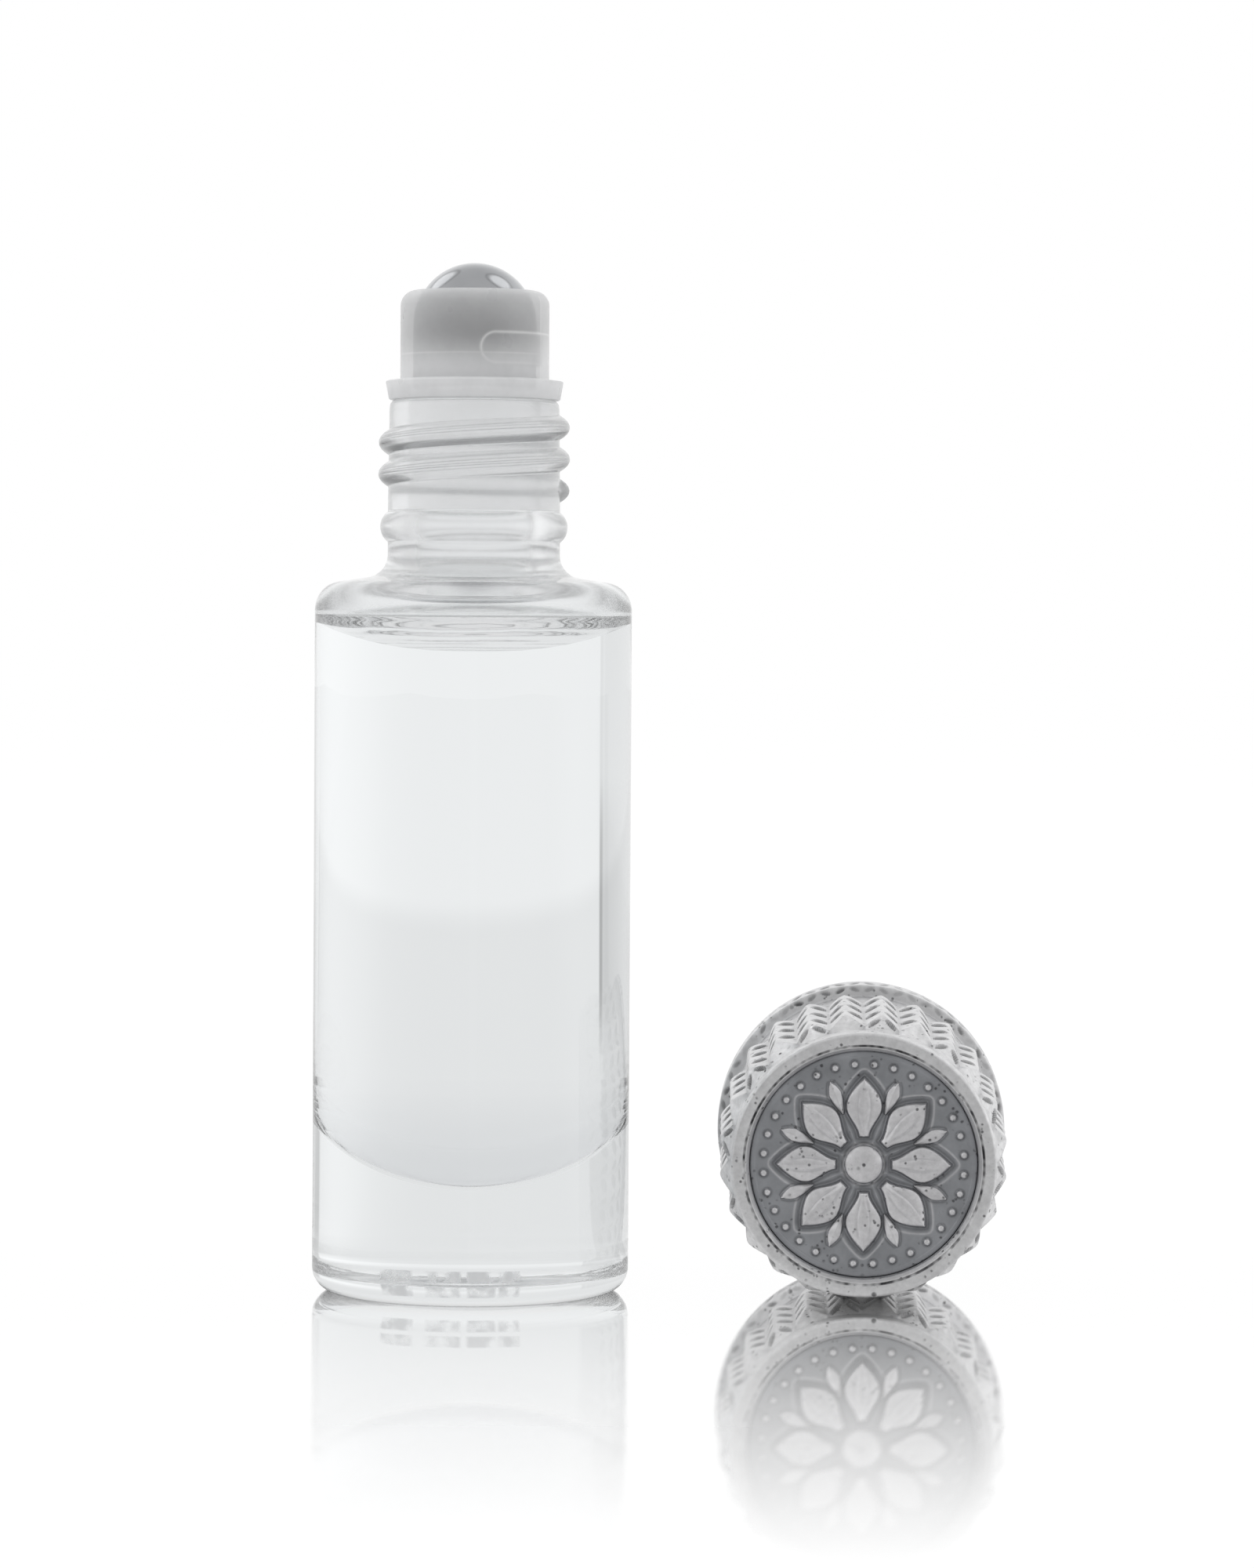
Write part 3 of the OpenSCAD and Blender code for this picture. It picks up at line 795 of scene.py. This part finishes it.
def ball_shade(r, z, angle):
    """The steel ball behind the cup's wall, as a painted shade, deepest below the ball's middle
    and paler on the left and the right."""
    off = z - SHADE_Z
    near = soft_line(off, np.where(off > 0, SHADE_UP, SHADE_DOWN))
    sides = SHADE_SIDES + (1 - SHADE_SIDES) * np.sin(angle) ** 2
    return np.where((r > CUP_BORE_R - 0.5) & (z > FLANGE_TOP_Z), SHADE * near * sides, 0)


def make_housing():
    top_a = math.degrees(math.asin((CUP_TOP_Z - BALL_Z) / CUP_BORE_R))
    foot, crown = PLUG_RIB_HALF
    plug = [(PLUG_BORE_R, PLUG_END_Z), (PLUG_CORE_R - 0.2, PLUG_END_Z),
            (PLUG_CORE_R, PLUG_END_Z + PLUG_LEAD)]
    for i in (1, 2, 3):
        z = PLUG_END_Z + (LIP_Z - PLUG_END_Z) * i / 4
        plug += [(PLUG_CORE_R, z - foot), (PLUG_R, z - crown),
                 (PLUG_R, z + crown), (PLUG_CORE_R, z + foot)]
    low_r = FLANGE_R - FLANGE_DRAFT
    flange = [(PLUG_CORE_R, LIP_Z), (low_r - 0.08, LIP_Z), (low_r, LIP_Z + 0.06),
              (FLANGE_R, FLANGE_TOP_Z - 0.1), (FLANGE_R - 0.03, FLANGE_TOP_Z - 0.03),
              (FLANGE_R - 0.1, FLANGE_TOP_Z), (CUP_R + 0.1, FLANGE_TOP_Z),
              (CUP_R + 0.03, FLANGE_TOP_Z + 0.03), (CUP_R, FLANGE_TOP_Z + 0.12)]
    cup = line((CUP_R, FLANGE_TOP_Z + 0.2), (CUP_R, CUP_TOP_Z - CUP_ROUND - 0.03), 90)
    cup += arc(CUP_R - CUP_ROUND, CUP_TOP_Z - CUP_ROUND, CUP_ROUND, 0, 90, 16)
    lip = arc(0, BALL_Z, CUP_BORE_R, top_a, 0, 12)
    cup += [(lip[0][0] + 0.05, CUP_TOP_Z - 0.02)] + lip
    cup += line((CUP_BORE_R, BALL_Z - 0.06), (CUP_BORE_R, POCKET_Z[0] - 0.3), 56)
    floor = [(CUP_BORE_R, FLOOR_Z), (PLUG_BORE_R, FLOOR_Z)]
    profile = plug + flange + cup + floor
    x, y, z = turned(profile, 432, pocket_shift)
    r = np.hypot(x, y)
    angle = np.arctan2(y, x)

    def part(row):
        if row < len(plug) or row >= len(profile) - len(floor):
            return 2
        return 1 if row < len(plug + flange) - 1 else 0

    piece = ring_piece("roller_cup", (x, y, z), part,
                       {"edge_line": painted_edge_highlights(r, z, angle), "shade": ball_shade(r, z, angle)})
    dress(piece, [cup_plastic, flange_plastic, plug_plastic], "bottle",
          "roller_housing")


def make_ball():
    profile = [(BALL_R * math.cos(a), BALL_Z + BALL_R * math.sin(a))
               for a in np.linspace(-math.pi / 2, math.pi / 2, 97)]
    piece = grid_piece("steel_ball", turned(profile, 144))
    dress(piece, [steel], "ball", "roller_ball")


# Cap

def rib_place(angle):
    """Place across a rib, and the rib's number."""
    turns = (angle % TURN) * RIBS / TURN
    return np.abs(2 * (turns % 1) - 1), np.floor(turns).astype(int)


def plait_slots(c, z):
    """How deep the slanted slots between the plaits are sunk, 0 to 1, how dark they are, and
    how far the bars between them are rounded off."""
    first = RIB_Z0 + RIB_LEAN
    pitch = (RIB_Z1 - RIB_END_H - first) / PLAITS
    beat = (z + RIB_LEAN * (1 - c) - first) / pitch
    inside = (beat > 0) & (beat < PLAITS)
    off = np.abs(beat - np.floor(beat) - 0.5) * pitch
    almond = SLOT_HALF * np.sqrt(unit(1 - ((c - SLOT_MIDDLE) / SLOT_REACH) ** 2))
    bar = BAR_ROUND * (1 + np.cos(np.clip(off / pitch, 0, 0.5) * TURN)) * (1 - c * 0.5)
    return (np.where(inside, ease((almond - off) / SLOT_SLOPE), 0),
            np.where(inside, ease((almond + 0.12 - off) / 0.3), 0),
            np.where(inside, bar, 0))


def end_pits(c, rib, z):
    """How deep the pits on the end of every second rib are sunk, 0 to 1, and how dark they are."""
    pit_x = (c - PIT_AT[0]) * PIT_HALF_PITCH
    pit_z = z - RIB_Z1 + PIT_AT[1]
    along = pit_x * PIT_LEAN[0] + pit_z * PIT_LEAN[1]
    across = np.abs(pit_x * PIT_LEAN[1] - pit_z * PIT_LEAN[0])
    taper = unit(1 - (along / PIT_LONG) ** 2)
    return (ease((taper * PIT_WIDE - across) / 0.1) * (rib % 2),
            ease((taper * (PIT_WIDE + 0.04) - across) / 0.08) * (rib % 2))


def shell_surface(z, angle):
    """Radius, relief and cavity of the shell's ribs at height z."""
    c, rib = rib_place(angle)
    slot, slot_dark, bar = plait_slots(c, z)
    pit, pit_dark = end_pits(c, rib, z)
    # A roof with a rounded ridge
    roof = rib_crest(z) - RIB_DEPTH * (np.hypot(c, RIB_RIDGE) - RIB_RIDGE) / RIB_FALL
    ribs = roof - SLOT_DEPTH * slot - bar
    # Its front end: a facet from the last bars down to the ring
    edge_z = RIB_Z1 - (RIB_END_H + 0.2) * (1 - c)
    down = unit((z - edge_z) / np.maximum(RIB_Z1 - edge_z, 0.05))
    ribs = np.where(z > edge_z, ribs + (RING_R - ribs) * down, ribs) - PIT_DEPTH * pit
    # Its back end: an arch on the plain band
    start = RIB_Z0 + ARCH_H * (1 - np.sqrt(unit(1 - c * c)))
    on = ease((z - start) / ARCH_SLOPE)
    valley = ease((c - 0.82) / 0.18) * on
    # Painted shade and dirt in the slots, the pits and the valleys between the ribs
    cavity = np.maximum(slot_dark * SLOT_DARK, pit_dark * PIT_DARK) * on + VALLEY_DARK * valley
    relief = on * (1 - 0.6 * ease((c - 0.5) / 0.5))
    return BAND_R + (ribs - BAND_R) * on, relief, cavity


def rim_marks(z, rim, angle):
    """Worn lozenges around the rim's side and its front: how deep each point is sunk."""
    turns = (angle % TURN) * RIM_MARKS / TURN
    number = np.floor(turns).astype(int)
    wear = np.random.default_rng(RIM_MARK_SEED).uniform(0.3, 1.0, RIM_MARKS) ** RIM_MARK_WEAR
    lean = np.where(number % 2 == 0, RIM_MARK_LEAN, -RIM_MARK_LEAN)
    front = z > RIM_H - RIM_EDGE
    v = np.where(front, (rim - 0.66) / 0.3, (z - RIM_H / 2) / 1.05)
    u = (turns % 1) - 0.5 + lean * v
    return wear[number] * ease((1.0 - np.hypot(u / RIM_MARK_HALF, v)) / 0.5)


def shell_outside(heights):
    """Radius, height, relief and cavity of the rim, the plain band, the ribs and the ring."""
    z = np.array(heights)[:, None] * np.ones((1, SHELL_COLUMNS))
    angle = round_axis(SHELL_COLUMNS, z)
    radius, relief, cavity = shell_surface(z, angle)
    rim = ease((RIM_H + 0.12 - z) / RIM_SLOPE)
    edge = unit((RIM_EDGE - z) / RIM_EDGE)
    marks = rim_marks(z, rim, angle)
    rim_r = RIM_R - RIM_EDGE * (1 - np.sqrt(1 - edge ** 2)) - RIM_MARK_DEPTH * marks
    plain = z < RIB_Z0 - 0.2
    radius = np.where(plain, BAND_R + (rim_r - BAND_R) * rim, radius)
    relief = np.where(plain, rim * 0.9, relief)
    # Painted shade and dirt in the worn marks on the rim
    cavity = np.where(plain, ease(rim / 0.3) * marks * MARK_DARK, cavity)
    on_ring = z > RIB_Z1 + 0.03
    radius = np.where(on_ring, RING_R, radius)
    relief = np.where(on_ring, 1.0, relief)
    cavity = np.where(on_ring, 0.0, cavity)
    return radius, z, relief, cavity


def make_shell():
    heights = np.concatenate([
        [0.0, 0.1, 0.2],
        np.arange(RIM_EDGE, RIM_H - RIM_EDGE, 0.1),
        np.linspace(RIM_H - RIM_EDGE + 0.02, RIM_H + 0.25, 22),
        np.linspace(RIM_H + 0.6, RIB_Z0 - 0.3, 8),
        np.arange(RIB_Z0 - 0.1, RIB_Z1 + 0.1, SHELL_STEP),
        np.linspace(RIB_Z1 + 0.15, CAP_LEN - RING_EDGE, 8)])
    radius, z, relief, cavity = shell_outside(heights)
    # Below the outside: the bore and the plate. Above it: the ring's face and the recess
    inside = [(0, SHELL_PLATE_Z), (SHELL_BORE_R - 0.2, SHELL_PLATE_Z),
              (SHELL_BORE_R, SHELL_PLATE_Z - 0.2), (SHELL_BORE_R, 12), (SHELL_BORE_R, 0.3),
              (SHELL_BORE_R + 0.3, 0), (RIM_R - RIM_EDGE - 0.2, 0)]
    seam_r = RECESS_R + FACE_BEVEL
    ring = arc(RING_R - RING_EDGE, CAP_LEN - RING_EDGE, RING_EDGE, 15, 90, 5)
    ring += [(RING_R - 0.45, CAP_LEN)]
    seam = [(seam_r + out, CAP_LEN - down) for out, down in SEAM]
    recess = line((seam_r - 0.14, CAP_LEN - 0.12), (RECESS_R + 0.02, CAP_LEN - FACE_BEVEL), 5)
    recess += [(RECESS_R, CAP_LEN - FACE_BEVEL - 0.04), (RECESS_R, MEDALLION_Z + 0.05),
               (RECESS_R - 0.05, MEDALLION_Z), (RECESS_R * 0.5, MEDALLION_Z), (0, MEDALLION_Z)]
    inside_r, inside_z = spread(inside, SHELL_COLUMNS)
    face_r, face_z = spread(ring + seam + recess, SHELL_COLUMNS)
    r = np.vstack([inside_r, radius, face_r])
    z = np.vstack([inside_z, z, face_z])
    relief = np.vstack([np.full_like(inside_r, 0.3), relief, np.full_like(face_r, 0.95)])
    cavity = np.vstack([np.zeros_like(inside_r), cavity, np.zeros_like(face_r)])
    relief[-len(recess):] = 0.35
    angle = round_axis(SHELL_COLUMNS)
    ragged = (np.sin(5 * angle + 1) + np.sin(17 * angle)
              + 1.4 * np.sin(61 * angle + 2) * np.sin(23 * angle))
    seam_cavity = cavity[-len(seam + recess):]
    seam_cavity[SEAM_DARK_ROWS] = np.clip(SEAM_DARK + SEAM_RAGGED * ragged, 0.1, 1.0)
    piece = grid_piece("cap_casting", round_grid(r, z, angle), CAP_FRAME,
                       values={"relief": relief, "cavity": cavity})
    dress(piece, [silver], "cap", "cap_shell")


def petal_half(t):
    """Half the width of a petal from its root, 0, to its point, 1."""
    inner = (PETAL_ROOT_W + (PETAL_W - PETAL_ROOT_W) * ease(t / PETAL_WIDE)) / 2
    beyond = np.clip(t - PETAL_WIDE, 0, None) / (1 - PETAL_WIDE)
    outer = PETAL_W / 2 * unit(1 - beyond ** PETAL_POINT)
    return np.where(t < PETAL_WIDE, inner, outer)


def petal_distance(x, y):
    """Distance to the outline of the petal that lies along x, negative inside it."""
    length = PETAL_OUT - PETAL_IN
    t = (x - PETAL_IN) / length
    away = np.full_like(x, 99.0)
    for at in np.linspace(0, 1, 81):
        away = np.minimum(away, np.hypot(x - PETAL_IN - at * length, y - petal_half(at)))
    for side in np.linspace(0, petal_half(0.0), 5):
        away = np.minimum(away, np.hypot(x - PETAL_IN, y - side))
    half = petal_half(unit(t))
    return np.where((t > 0) & (t < 1) & (y < half), -away, away), t, half


def petals(r, angle):
    """Height, relief and cavity of the petals and of the ground round them."""
    step = TURN / PETALS
    off = (angle + step / 2) % step - step / 2
    y = np.abs(r * np.sin(off))
    away, t, half = petal_distance(r * np.cos(off), y)
    side = unit(y / np.maximum(half, 0.02))
    body = 0.16 + 0.2 * np.sqrt(unit(1 - side ** 2)) + 0.22 * (1 - side)
    # Two grooves run beside the petal's ridge
    groove = GROOVE_DEPTH * soft_line(y - 0.34 * half, 0.09)
    groove = groove * ease((t - 0.04) / 0.2) * ease((0.85 - t) / 0.25)
    petal = (body - groove) * ease(-away / 0.14)
    # A fine raised line follows each petal at a distance, and the ground dips between them
    outline = soft_line(away - OUTLINE_OFF, 0.07)
    dip = -0.05 * soft_line(away - 0.15, 0.12)
    height = np.where(away < 0, petal, OUTLINE_H * outline + dip)
    relief = np.where(away < 0, ease(-away / 0.1) * (1 - 4 * groove), 0.55 * outline)
    # Painted shade and dirt along the foot of each petal
    return height, relief, 0.55 * soft_line(away - 0.12, 0.1)


def add_leaves(r, angle, height, relief, cavity):
    """A small leaf between each two petals, widest near its outer end."""
    step = TURN / PETALS
    off = angle % step - step / 2
    u = (r * np.cos(off) - LEAF_IN) / (LEAF_OUT - LEAF_IN)
    point = unit(1 - np.clip(u - LEAF_WIDE, 0, None) / (1 - LEAF_WIDE)) ** 0.7
    wide = LEAF_W / 2 * np.sqrt(unit(u)) * point
    y = np.abs(r * np.sin(off))
    leaf = np.where((u > 0) & (u < 1), y - wide, 1.0)
    side = unit(y / np.maximum(wide, 0.02))
    height = np.where(leaf < 0, (0.12 + 0.2 * (1 - side)) * ease(-leaf / 0.1), height)
    relief = np.where(leaf < 0, ease(-leaf / 0.08), relief)
    # Painted shade and dirt round each leaf
    around = np.where(leaf > 0, 0.5 * soft_line(leaf - 0.08, 0.08), 0)
    return height, relief, np.maximum(cavity, around)


def add_boss(r, height, relief, cavity):
    """The boss with its pit."""
    dome_r = (BOSS_R ** 2 + BOSS_H ** 2) / (2 * BOSS_H)
    dome = RELIEF_H - dome_r + np.sqrt(np.clip(dome_r ** 2 - r ** 2, 0, None))
    on_boss = ease((BOSS_R - r) / 0.08)
    pit = ease((BOSS_PIT_R - r) / 0.1)
    height = np.where(r < BOSS_R, dome * on_boss - 0.12 * pit, height)
    relief = np.where(r < BOSS_R, on_boss, relief)
    # Painted shade and dirt round the boss, and in its pit
    around = 0.6 * soft_line(r - BOSS_R - 0.1, 0.1)
    return height, relief, np.where(r < BOSS_R, 0.9 * pit, np.maximum(cavity, around))


def add_beads(r, angle, height, relief, cavity):
    """The ring of beads near the edge."""
    step = TURN / DOTS
    off = angle % step - step / 2
    away = np.hypot(r * np.cos(off) - DOT_RING_R, r * np.sin(off))
    bead = np.sqrt(np.clip(DOT_R ** 2 - away ** 2, 0, None))
    height = np.maximum(height, np.where(away < DOT_R, bead * 0.95, -1))
    relief = np.maximum(relief, ease((DOT_R - away) / 0.08))
    # Painted shade and dirt round each bead
    around = 0.45 * soft_line(away - DOT_R - 0.05, 0.06)
    return height, relief, np.maximum(cavity * (away > DOT_R), around)


def make_medallion():
    columns = 720
    under_r, under_z = spread([(0, 0), (MEDALLION_R - 0.02, 0), (MEDALLION_R, 0.02)], columns)
    radii = np.concatenate([[MEDALLION_R, MEDALLION_R - 0.04],
                            np.arange(MEDALLION_R - 0.1, 0.03, -0.055), [0.0]])
    r = radii[:, None] * np.ones((1, columns))
    angle = round_axis(columns, r)
    face = add_leaves(r, angle, *petals(r, angle))
    height, relief, cavity = add_beads(r, angle, *add_boss(r, *face))
    # A low step along the edge
    height = height + EDGE_STEP_H * ease((r - (MEDALLION_R - EDGE_STEP_W)) / 0.1)
    height[0] = 0
    r = np.vstack([under_r, r])
    z = np.vstack([under_z, MEDALLION_T + height]) + MEDALLION_Z
    low = np.zeros_like(under_r)
    piece = grid_piece("cap_rosette", round_grid(r, z, round_axis(columns)), CAP_FRAME,
                       values={"relief": np.vstack([low, relief]), "cavity": np.vstack([low, cavity])})
    dress(piece, [dark_silver], "cap", "cap_medallion")


def make_pad():
    """The foam disc in the liner, with a shallow hollow for the ball."""
    profile = [(BALL_R * math.sin(a), PAD_BALL_Z + BALL_R * math.cos(a))
               for a in np.linspace(0, PAD_DIMPLE_A, 9)]
    profile += line((1.9, PAD_Z), (PAD_R - 0.2, PAD_Z), 12)
    profile += arc(PAD_R - PAD_ROUND, PAD_Z + PAD_ROUND, PAD_ROUND, -90, 0, 4)
    profile += [(PAD_R, PAD_TOP_Z), (PAD_R - 0.05, PAD_TOP_Z), (0, PAD_TOP_Z)]
    piece = grid_piece("cap_foam_pad", turned(profile, 144), CAP_FRAME)
    dress(piece, [pad_foam], "cap", "cap_seal_pad")


def colour_plain_nodes():
    """Seat and liner stay as the CAD has them, with materials of their own."""
    for node, material in (("ball_seat", seat_plastic), ("cap_liner", liner_plastic)):
        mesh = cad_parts[node].data
        mesh.materials.clear()
        mesh.materials.append(material)


# Floor, light and camera

# Levels seen through clear glass, and what the cards add to them
BACKDROP = 0.88
NEAR_FLOOR = 0.80
UNDER = 0.78
RIGHT_CARD = 0.14
RIGHT_GAP = -0.4
LEFT_CARD = -0.07
CARD_EDGE = -0.12
CARD_EDGE_NEAR = -0.38
VIEWER_SIDE = 0.62
LOW_WALL = 0.8
STEEP = 0.88
IN_GLASS = 1.04

# Directions of the cards, from straight behind the bottle, the left over 0. The left card's
# edge fades out over two spans, each with its share
RIGHT_CARD_SPAN = (-4, -50)
RIGHT_GAP_START = (-61, -65)
RIGHT_GAP_END = (-73, -78)
LEFT_CARD_SPAN = (36.0, 37.6)
CARD_EDGE_START = (34.2, 35.0)
CARD_EDGE_ENDS = (((35.6, 37.0), 0.7), ((36.6, 62), 0.3))
VIEWER_SPAN = (98, 125)

# Floor, with spans in place on Y or in distance from the bottle's axis
FLOOR_HALF = 3.0
FLOOR_GLOW = 0.72
FLOOR_FAINT = (0.3, 0.3, 0.3)
FLOOR_MATT = (0.8, 0.8, 0.8)
FLOOR_TILT = (0.025, 0.003)
MIRROR = 0.96
MIRROR_FRONT = (-0.106, -0.013)
MIRROR_BACK = (0.014, 0.06)
BACKDROP_SPAN = (0.40, 0.50)
UNDER_SPAN = (0.014, 0.034)
EDGE_NEAR_SPAN = (0.15, 0.3)
EDGE_FAR_SPAN = (0.6, 1.2)
CONTACT_SHADE = 0.0012

# World: levels in metal and for plain light, and the spans of direction where they change
METAL_FRONT = 0.5
METAL_UP = 0.7
LIT_FRONT = 0.8
LIT_BACK = 0.95
FRONT_SPAN = (-0.97, -0.35)
UP_SPAN = (0.35, 0.95)
LOW_WALL_SPAN = (0.04, 0.12)
STEEP_SPAN = (0.2, 0.45)
ALIKE_SPAN = (0.05, 0.18)

# Two small soft boxes with a darker rim, by the cosine of the angle from their middle
SOFT_BOXES = ((-0.51, 0.54, 0.67), (0.48, 0.27, 0.835))
BOX_LEVEL = 0.55
BOX_EDGE = (0.968, 0.985)
BOX_RIM = -0.22
BOX_RIM_START = (0.945, 0.957)
BOX_RIM_END = (0.96, 0.97)

# The lamp overhead
LAMP_AT = (-0.15, 0.05, 0.6)
LAMP_TO = (0.01, 0, 0.03)
LAMP_SIDE = 0.5
LAMP_POWER = 0.8

# Camera: lens from the perspective, roll from the bottle's axis
CAMERA_AT = (10.24, -357.0, 44.9)
CAMERA_DOWN = 1.7965
CAMERA_ROLL = 0.35
LENS = 123.66


def surroundings(n, x, y, level, edge_level, steep):
    """Brightness of the studio behind clear glass, by direction from the bottle.

    A bright card stands on the right with a dark gap beside it, a darker card on the left
    with its edge seen as a line, and the viewer's side is dim. Steeply up and down, where
    steep is 1, all sides are alike. Plastic inside the glass is lit evenly.
    """
    direction = n.maths("ARCTAN2", n.times(x, -1.0), y)

    def across(span, low, high, angle=direction):
        return n.smooth(angle, math.radians(span[0]), math.radians(span[1]), low, high)

    right = across(RIGHT_CARD_SPAN, 0.0, RIGHT_CARD)
    gap = n.times(across(RIGHT_GAP_START, 0.0, RIGHT_GAP), across(RIGHT_GAP_END, 1.0, 0.0))
    left = across(LEFT_CARD_SPAN, 0.0, LEFT_CARD)
    fading = n.plus(*(across(span, share, 0.0) for span, share in CARD_EDGE_ENDS))
    edge = n.times(n.times(across(CARD_EDGE_START, 0.0, 1.0), fading), edge_level)
    sides = n.plus(n.plus(right, gap), n.plus(left, edge))
    dim = across(VIEWER_SPAN, 1.0, VIEWER_SIDE, n.maths("ABSOLUTE", direction))
    seen = n.pick(steep, n.times(n.plus(level, sides), dim), level)
    scattered = n.maths("MINIMUM", n.add("LightPath").outputs["Diffuse Depth"], 1.0)
    return n.pick(scattered, seen, IN_GLASS)


def floor_mirror(n, place):
    """A sharp mirror. Grain too fine to see tilts it from point to point, so that its image
    blurs with distance."""
    across, along = FLOOR_TILT
    grain = n.add("TexWhiteNoise", noise_dimensions="3D", Vector=place).outputs["Color"]
    tilted = n.vector("MULTIPLY_ADD", grain, (across, along, 0.0), (-across / 2, -along / 2, 1.0))
    return n.add("BsdfGlossy", Roughness=0.0, Normal=tilted["Vector"], Color=WHITE)


def floor_level(n, place, x, y):
    """How bright the floor is through glass and in metal: a little darker near the object, with
    the studio's sides as seen from the bottle's back."""
    away = n.vector("LENGTH", place)["Value"]
    under = n.smooth(away, *UNDER_SPAN, 1.0, 0.0)
    level = n.pick(under, n.smooth(y, *BACKDROP_SPAN, NEAR_FLOOR, BACKDROP), UNDER)
    edge = n.plus(n.smooth(away, *EDGE_NEAR_SPAN, 0.0, CARD_EDGE_NEAR),
                   n.smooth(away, *EDGE_FAR_SPAN, 0.0, CARD_EDGE - CARD_EDGE_NEAR))
    return surroundings(n, x, n.maths("SUBTRACT", y, BODY_R * MM), level, edge, under)


def floor_material():
    """White gloss that the camera sees, and levels of its own for glass and metal. Plain light
    gets neither, so that the floor doesn't light the object from below."""
    n = Material("floor_white")
    place = n.add("NewGeometry").outputs["Position"]
    x, y, _ = n.add("SeparateXYZ", place).outputs
    path = n.add("LightPath").outputs
    ends = n.times(n.span(y, *MIRROR_FRONT), n.smooth(y, *MIRROR_BACK, 1.0, 0.0))
    white = n.add("AddShader",
                  n.add("BsdfDiffuse", Color=FLOOR_FAINT).outputs[0],
                  n.add("Emission", Strength=FLOOR_GLOW).outputs[0])
    seen = n.blend(n.times(ends, MIRROR), white, floor_mirror(n, place))
    # In metal the floor is dark next to what stands on it
    hidden = n.add("AmbientOcclusion", samples=8, Distance=CONTACT_SHADE).outputs["AO"]
    shade = n.pick(path["Is Transmission Ray"], hidden, 1.0)
    bent = n.add("Emission", Strength=n.times(floor_level(n, place, x, y), shade))
    other = n.most(path["Is Glossy Ray"], path["Is Transmission Ray"])
    plain = n.blend(other, n.add("BsdfDiffuse", Color=FLOOR_MATT), bent)
    n.feed(n.out.inputs["Surface"], n.blend(path["Is Camera Ray"], plain, seen).outputs[0])
    n.tree.nodes.remove(n.shader)
    return n.material


def make_floor():
    corners = [(-1, -1), (1, -1), (1, 1), (-1, 1)]
    mesh = bpy.data.meshes.new("floor")
    mesh.from_pydata([(x * FLOOR_HALF, y * FLOOR_HALF, 0) for x, y in corners], [], [(0, 1, 2, 3)])
    mesh.materials.append(floor_material())
    new_object("floor", mesh)


def metal_level(n, direction, front, up):
    """The studio in metal: white behind, dim overhead and in front, and the two soft boxes."""
    metal = n.times(n.span(front, 0.0, 1.0, METAL_FRONT, 1.0),
                    n.span(up, 0.0, 1.0, 1.0, METAL_UP))
    for box in SOFT_BOXES:
        near = n.vector("DOT_PRODUCT", direction, tuple(Vector(box).normalized()))["Value"]
        shine = n.smooth(near, *BOX_EDGE, 0.0, BOX_LEVEL)
        rim = n.times(n.smooth(near, *BOX_RIM_START, 0.0, BOX_RIM),
                      n.smooth(near, *BOX_RIM_END, 1.0, 0.0))
        metal = n.plus(metal, n.plus(shine, rim))
    return metal


def make_world():
    """White surroundings that are seen, and the studio's own levels for light, metal and glass."""
    world = bpy.data.worlds.new("studio")
    bpy.context.scene.world = world
    world.use_nodes = True
    n = Nodes(world.node_tree)
    path = n.add("LightPath").outputs
    direction = n.add("TexCoord").outputs["Generated"]
    x, y, z = n.add("SeparateXYZ", direction).outputs
    front = n.smooth(y, *FRONT_SPAN)
    metal = metal_level(n, direction, front, n.smooth(z, *UP_SPAN))
    level = n.pick(n.smooth(z, *STEEP_SPAN), n.smooth(z, *LOW_WALL_SPAN, BACKDROP, LOW_WALL), STEEP)
    clear = surroundings(n, x, y, level, CARD_EDGE, n.smooth(z, *ALIKE_SPAN))
    lit = n.span(front, 0.0, 1.0, LIT_FRONT, LIT_BACK)
    # The floor is a sharp mirror, and shows white on every side
    mirrored = n.pick(path["Is Singular Ray"], metal, 1.0)
    strength = n.pick(path["Is Glossy Ray"], lit, mirrored)
    strength = n.pick(path["Is Transmission Ray"], strength, clear)
    strength = n.pick(path["Is Camera Ray"], strength, 1.0)
    back = n.tree.nodes["Background"]
    n.feed(back.inputs["Strength"], strength)
    n.feed(back.inputs["Color"], WHITE)


def make_lamp():
    """A soft light overhead that metal and glass don't show."""
    light = bpy.data.lights.new("overhead", "AREA")
    light.shape = "RECTANGLE"
    light.size = LAMP_SIDE
    light.size_y = LAMP_SIDE
    light.energy = LAMP_POWER
    lamp = new_object("overhead", light)
    lamp.location = LAMP_AT
    lamp.rotation_euler = (Vector(LAMP_TO) - Vector(LAMP_AT)).to_track_quat("-Z", "Y").to_euler()
    lamp.visible_glossy = False
    lamp.visible_transmission = False


def make_camera():
    """Stands where the photograph was taken."""
    camera = new_object("camera", bpy.data.cameras.new("camera"))
    camera.data.sensor_width = 36
    camera.data.lens = LENS
    camera.data.clip_start = 0.01
    camera.data.clip_end = 20
    camera.matrix_world = (Matrix.Translation(Vector(CAMERA_AT) * MM)
                           @ Matrix.Rotation(math.radians(90 - CAMERA_DOWN), 4, "X")
                           @ Matrix.Rotation(math.radians(CAMERA_ROLL), 4, "Z"))
    bpy.context.scene.camera = camera


def set_bounces():
    """Light crosses many faces of glass, liquid and plastic before it leaves the bottle."""
    paths = bpy.context.scene.cycles
    paths.max_bounces = paths.glossy_bounces = paths.transmission_bounces = 96
    paths.diffuse_bounces = 8
    paths.transparent_max_bounces = 256


make_glass()
make_liquid()
make_housing()
make_ball()
make_shell()
make_medallion()
make_pad()
colour_plain_nodes()
make_floor()
make_world()
make_lamp()
make_camera()
set_bounces()
bpy.context.scene.view_settings.view_transform = "Standard"
